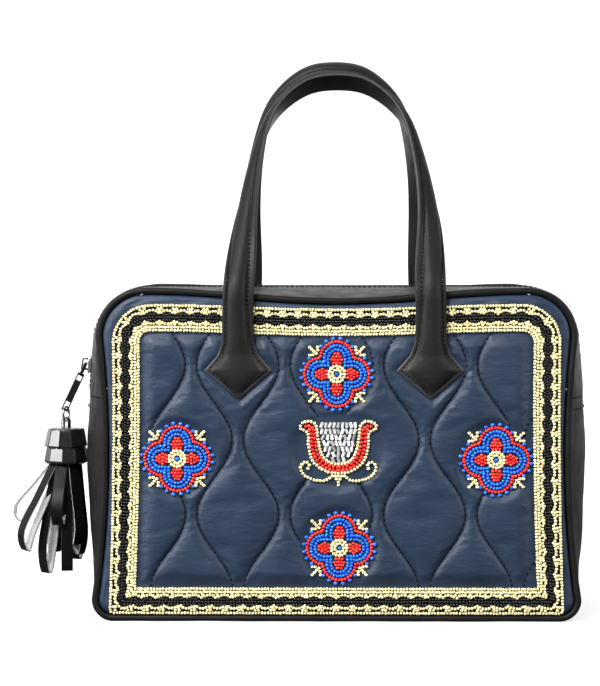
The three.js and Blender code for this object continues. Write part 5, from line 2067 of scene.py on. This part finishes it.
@dataclass
class CupMotif(Beadwork):
    """A flower cup of red beads between cream lines, filled with glass tubes, on two scrolled arms."""

    pitch: float = 1.95
    radius: float = 1.04
    red_pitch: float = 2.3
    red_radius: float = 1.2
    tube_radius: float = 0.95
    tube_length: float = 3.2
    tube_lean: float = 0.5

    OUTER = ((0, -13.7), (6.2, -12.9), (11.2, -10.4), (14.9, -6.8), (17, -2), (17.9, 4), (18, 9.6), (19.6, 11.6),
             (22, 12.6), (22.8, 14.6), (21.2, 16.8), (18, 17.5), (15, 16.8), (13.2, 14.6))
    INNER = ((12.8, 12.4), (12.4, 8), (11.6, 3.4), (10.4, -1.2), (8.3, -5.1), (4.6, -7.6), (0, -8.2))
    ARM = ((3.6, -15.4), (7.4, -17.9), (12.4, -18.2), (17.2, -16.9), (21, -14.3), (22.6, -10.8), (21.6, -8),
           (19.4, -7), (17.5, -8.4), (18, -10.8))
    RED_ROWS = (0.32, 0.70)
    RED_TIP = ((15.6, 13.6), (17.6, 14.6), (19.6, 14.6), (17.2, 12.6))
    DROP = ((-1.9, -15.6), (0, -15.6), (1.9, -15.6), (-1.1, -17.4), (1.1, -17.4), (0, -19.2), (0, -20.9))
    TUBE_ROWS = ((15.2, 9, 10.0), (11.5, 9, 9.9), (7.9, 8, 9.2), (4.3, 8, 8.5), (0.8, 7, 7.7), (-2.5, 5, 6.0),
                 (-5.5, 3, 3.2))

    def build(self, shop: Workshop) -> None:
        """Makes the motif's beads and tubes."""
        tubes = Seeds()
        for z, count, half in self.TUBE_ROWS:
            tubes.scatter(self.at([(x, z) for x in np.linspace(-half, half, count)]))
        lines = ((self.OUTER, 120), ((self.OUTER[-1], *self.INNER), 80), (self.ARM, 80))
        for hand in (-1, 1):
            side = np.array([hand, 1])
            for line, count in lines:
                self.string(Bead.CREAM, spline(line, count) * side)
            wall_out, wall_in = spline(self.OUTER[:8], 60), spline(self.INNER[::-1], 60)
            for share in self.RED_ROWS:
                self.string(Bead.RED, lerp(wall_out, wall_in, share)[1:] * side)
            self.single(Bead.RED, np.array(self.RED_TIP) * side)
        self.single(Bead.CREAM, self.DROP)
        for kind, seeds in self.seeds.items():
            sizes = (self.red_radius, self.red_pitch) if kind is Bead.RED else (self.radius, self.pitch)
            shop.beads(f"bead_motif_{kind.name.lower()}", seeds, kind, "bead_motif", *sizes)
        values = {"Radius": self.tube_radius * MM, "Length": self.tube_length * MM, "Lean": self.tube_lean,
                  "Seed": shop.next_seed(), "Material": shop.material(Bead.CRYSTAL.finish)}
        place(shop.tubes.grow("bead_motif_tubes", tubes, values), ["bead_motif"], Bead.CRYSTAL.slot)


@dataclass
class Studio:
    """Plain pale floor, soft studio light, and the camera at the photograph's angle."""

    camera: tuple[float, float, float] = (-0.0091, -1.31, 0.2291)
    target: tuple[float, float, float] = (-0.0218, -0.060, 0.1683)
    lens: float = 109.86
    sensor: float = 36.0
    air: float = 0.2
    glow: float = 0.6
    half_width: float = 20.0
    wall_foot: float = 1.6
    wall_bend: float = 1.2
    wall_top: float = 5.0

    LIGHTS = (("light_key", (-0.7, -1.2, 1.25), (0.8, 0.6), 45, (0.0, 0.0, 0.12)),
              ("light_left", (-1.45, -0.75, 0.7), (0.8, 1.2), 30, (0.0, 0.0, 0.12)),
              ("light_right", (1.5, -0.9, 0.7), (0.8, 1.2), 17, (0.0, 0.0, 0.12)),
              ("light_wall", (0.0, 1.0, 2.6), (3.0, 0.8), 40, (0.0, 2.8, 0.9)))

    def sweep(self, name: str, profile: Sequence[tuple[float, float]]) -> bpy.types.Object:
        """A wide pale sheet that follows a profile.

        Args:
            name: Name of the sheet.
            profile: Places y and z along it, in metres.

        Returns:
            The sheet.
        """
        finish = Shading(name)
        finish.set(Base_Color=(0.6, 0.6, 0.6, 1), Roughness=0.9, Emission_Color=(1, 1, 1, 1),
                   Emission_Strength=self.glow)
        vertices = [(x, y, z) for y, z in profile for x in (-self.half_width, self.half_width)]
        faces = [(2 * i, 2 * i + 1, 2 * i + 3, 2 * i + 2) for i in range(len(profile) - 1)]
        sheet = new_object(name, np.array(vertices) / MM, faces, 80)
        sheet.data.materials.append(finish.material)
        return sheet

    def backdrop(self) -> None:
        """A floor that throws no light back at the bag, and a wall that sweeps up behind it."""
        floor = self.sweep("studio_floor", [(-self.half_width, 0.0), (self.wall_foot, 0.0)])
        floor.visible_diffuse = False
        floor.visible_glossy = False
        bend = self.wall_bend
        curve = [(self.wall_foot + bend * math.sin(angle), bend * (1 - math.cos(angle)))
                 for angle in np.linspace(0, math.pi / 2, 16)]
        self.sweep("studio_wall", [*curve, (self.wall_foot + bend, self.wall_top)])

    def light(self, name: str, spot: Sequence[float], size: Sequence[float], power: float,
              aim: Sequence[float]) -> None:
        """A soft panel of light.

        Args:
            name: Name of the light.
            spot: Where it stands.
            size: Its two sides.
            power: Its power in watts.
            aim: The place it looks at.
        """
        data = bpy.data.lights.new(name, "AREA")
        data.shape = "RECTANGLE"
        data.size, data.size_y = size
        data.energy = power
        aim_at(linked(name, data), spot, aim)

    def build(self) -> None:
        """Sets up floor, lights, surroundings and camera."""
        self.backdrop()
        for row in self.LIGHTS:
            self.light(*row)
        world = bpy.data.worlds.new("studio_air")
        world.use_nodes = True
        air = world.node_tree.nodes["Background"].inputs
        air["Color"].default_value = (1.0, 1.0, 1.0, 1)
        air["Strength"].default_value = self.air
        bpy.context.scene.world = world
        bpy.context.scene.view_settings.view_transform = "Standard"
        data = bpy.data.cameras.new("camera")
        data.lens = self.lens
        data.sensor_width = self.sensor
        data.clip_start, data.clip_end = 0.01, 50
        camera = linked("camera", data)
        aim_at(camera, self.camera, self.target)
        bpy.context.scene.camera = camera


def main() -> None:
    """Builds the bag piece by piece, then the studio."""
    logging.basicConfig(level=logging.INFO, format="%(name)s %(message)s")
    shop = Workshop()
    panels = {face: QuiltedPanel(face) for face in Face}
    for panel in panels.values():
        panel.build(shop)
    gusset = Gusset()
    gusset.build(shop)
    ZipFastener(gusset).build(shop)
    ZipPull().build(shop)
    Handle(Face.FRONT, lean=math.radians(27), sway=2.2, shift=-1.3).build(shop)
    Handle(Face.BACK, lean=math.radians(16), sway=0.5).build(shop)
    surface = panels[Face.FRONT].surface
    BeadBorder(surface).build(shop)
    for name, centre in ROSETTES.items():
        Rosette(surface, centre, name=name).build(shop)
    CupMotif(surface, MOTIF).build(shop)
    Studio().build()


if __name__ == "__main__":
    main()
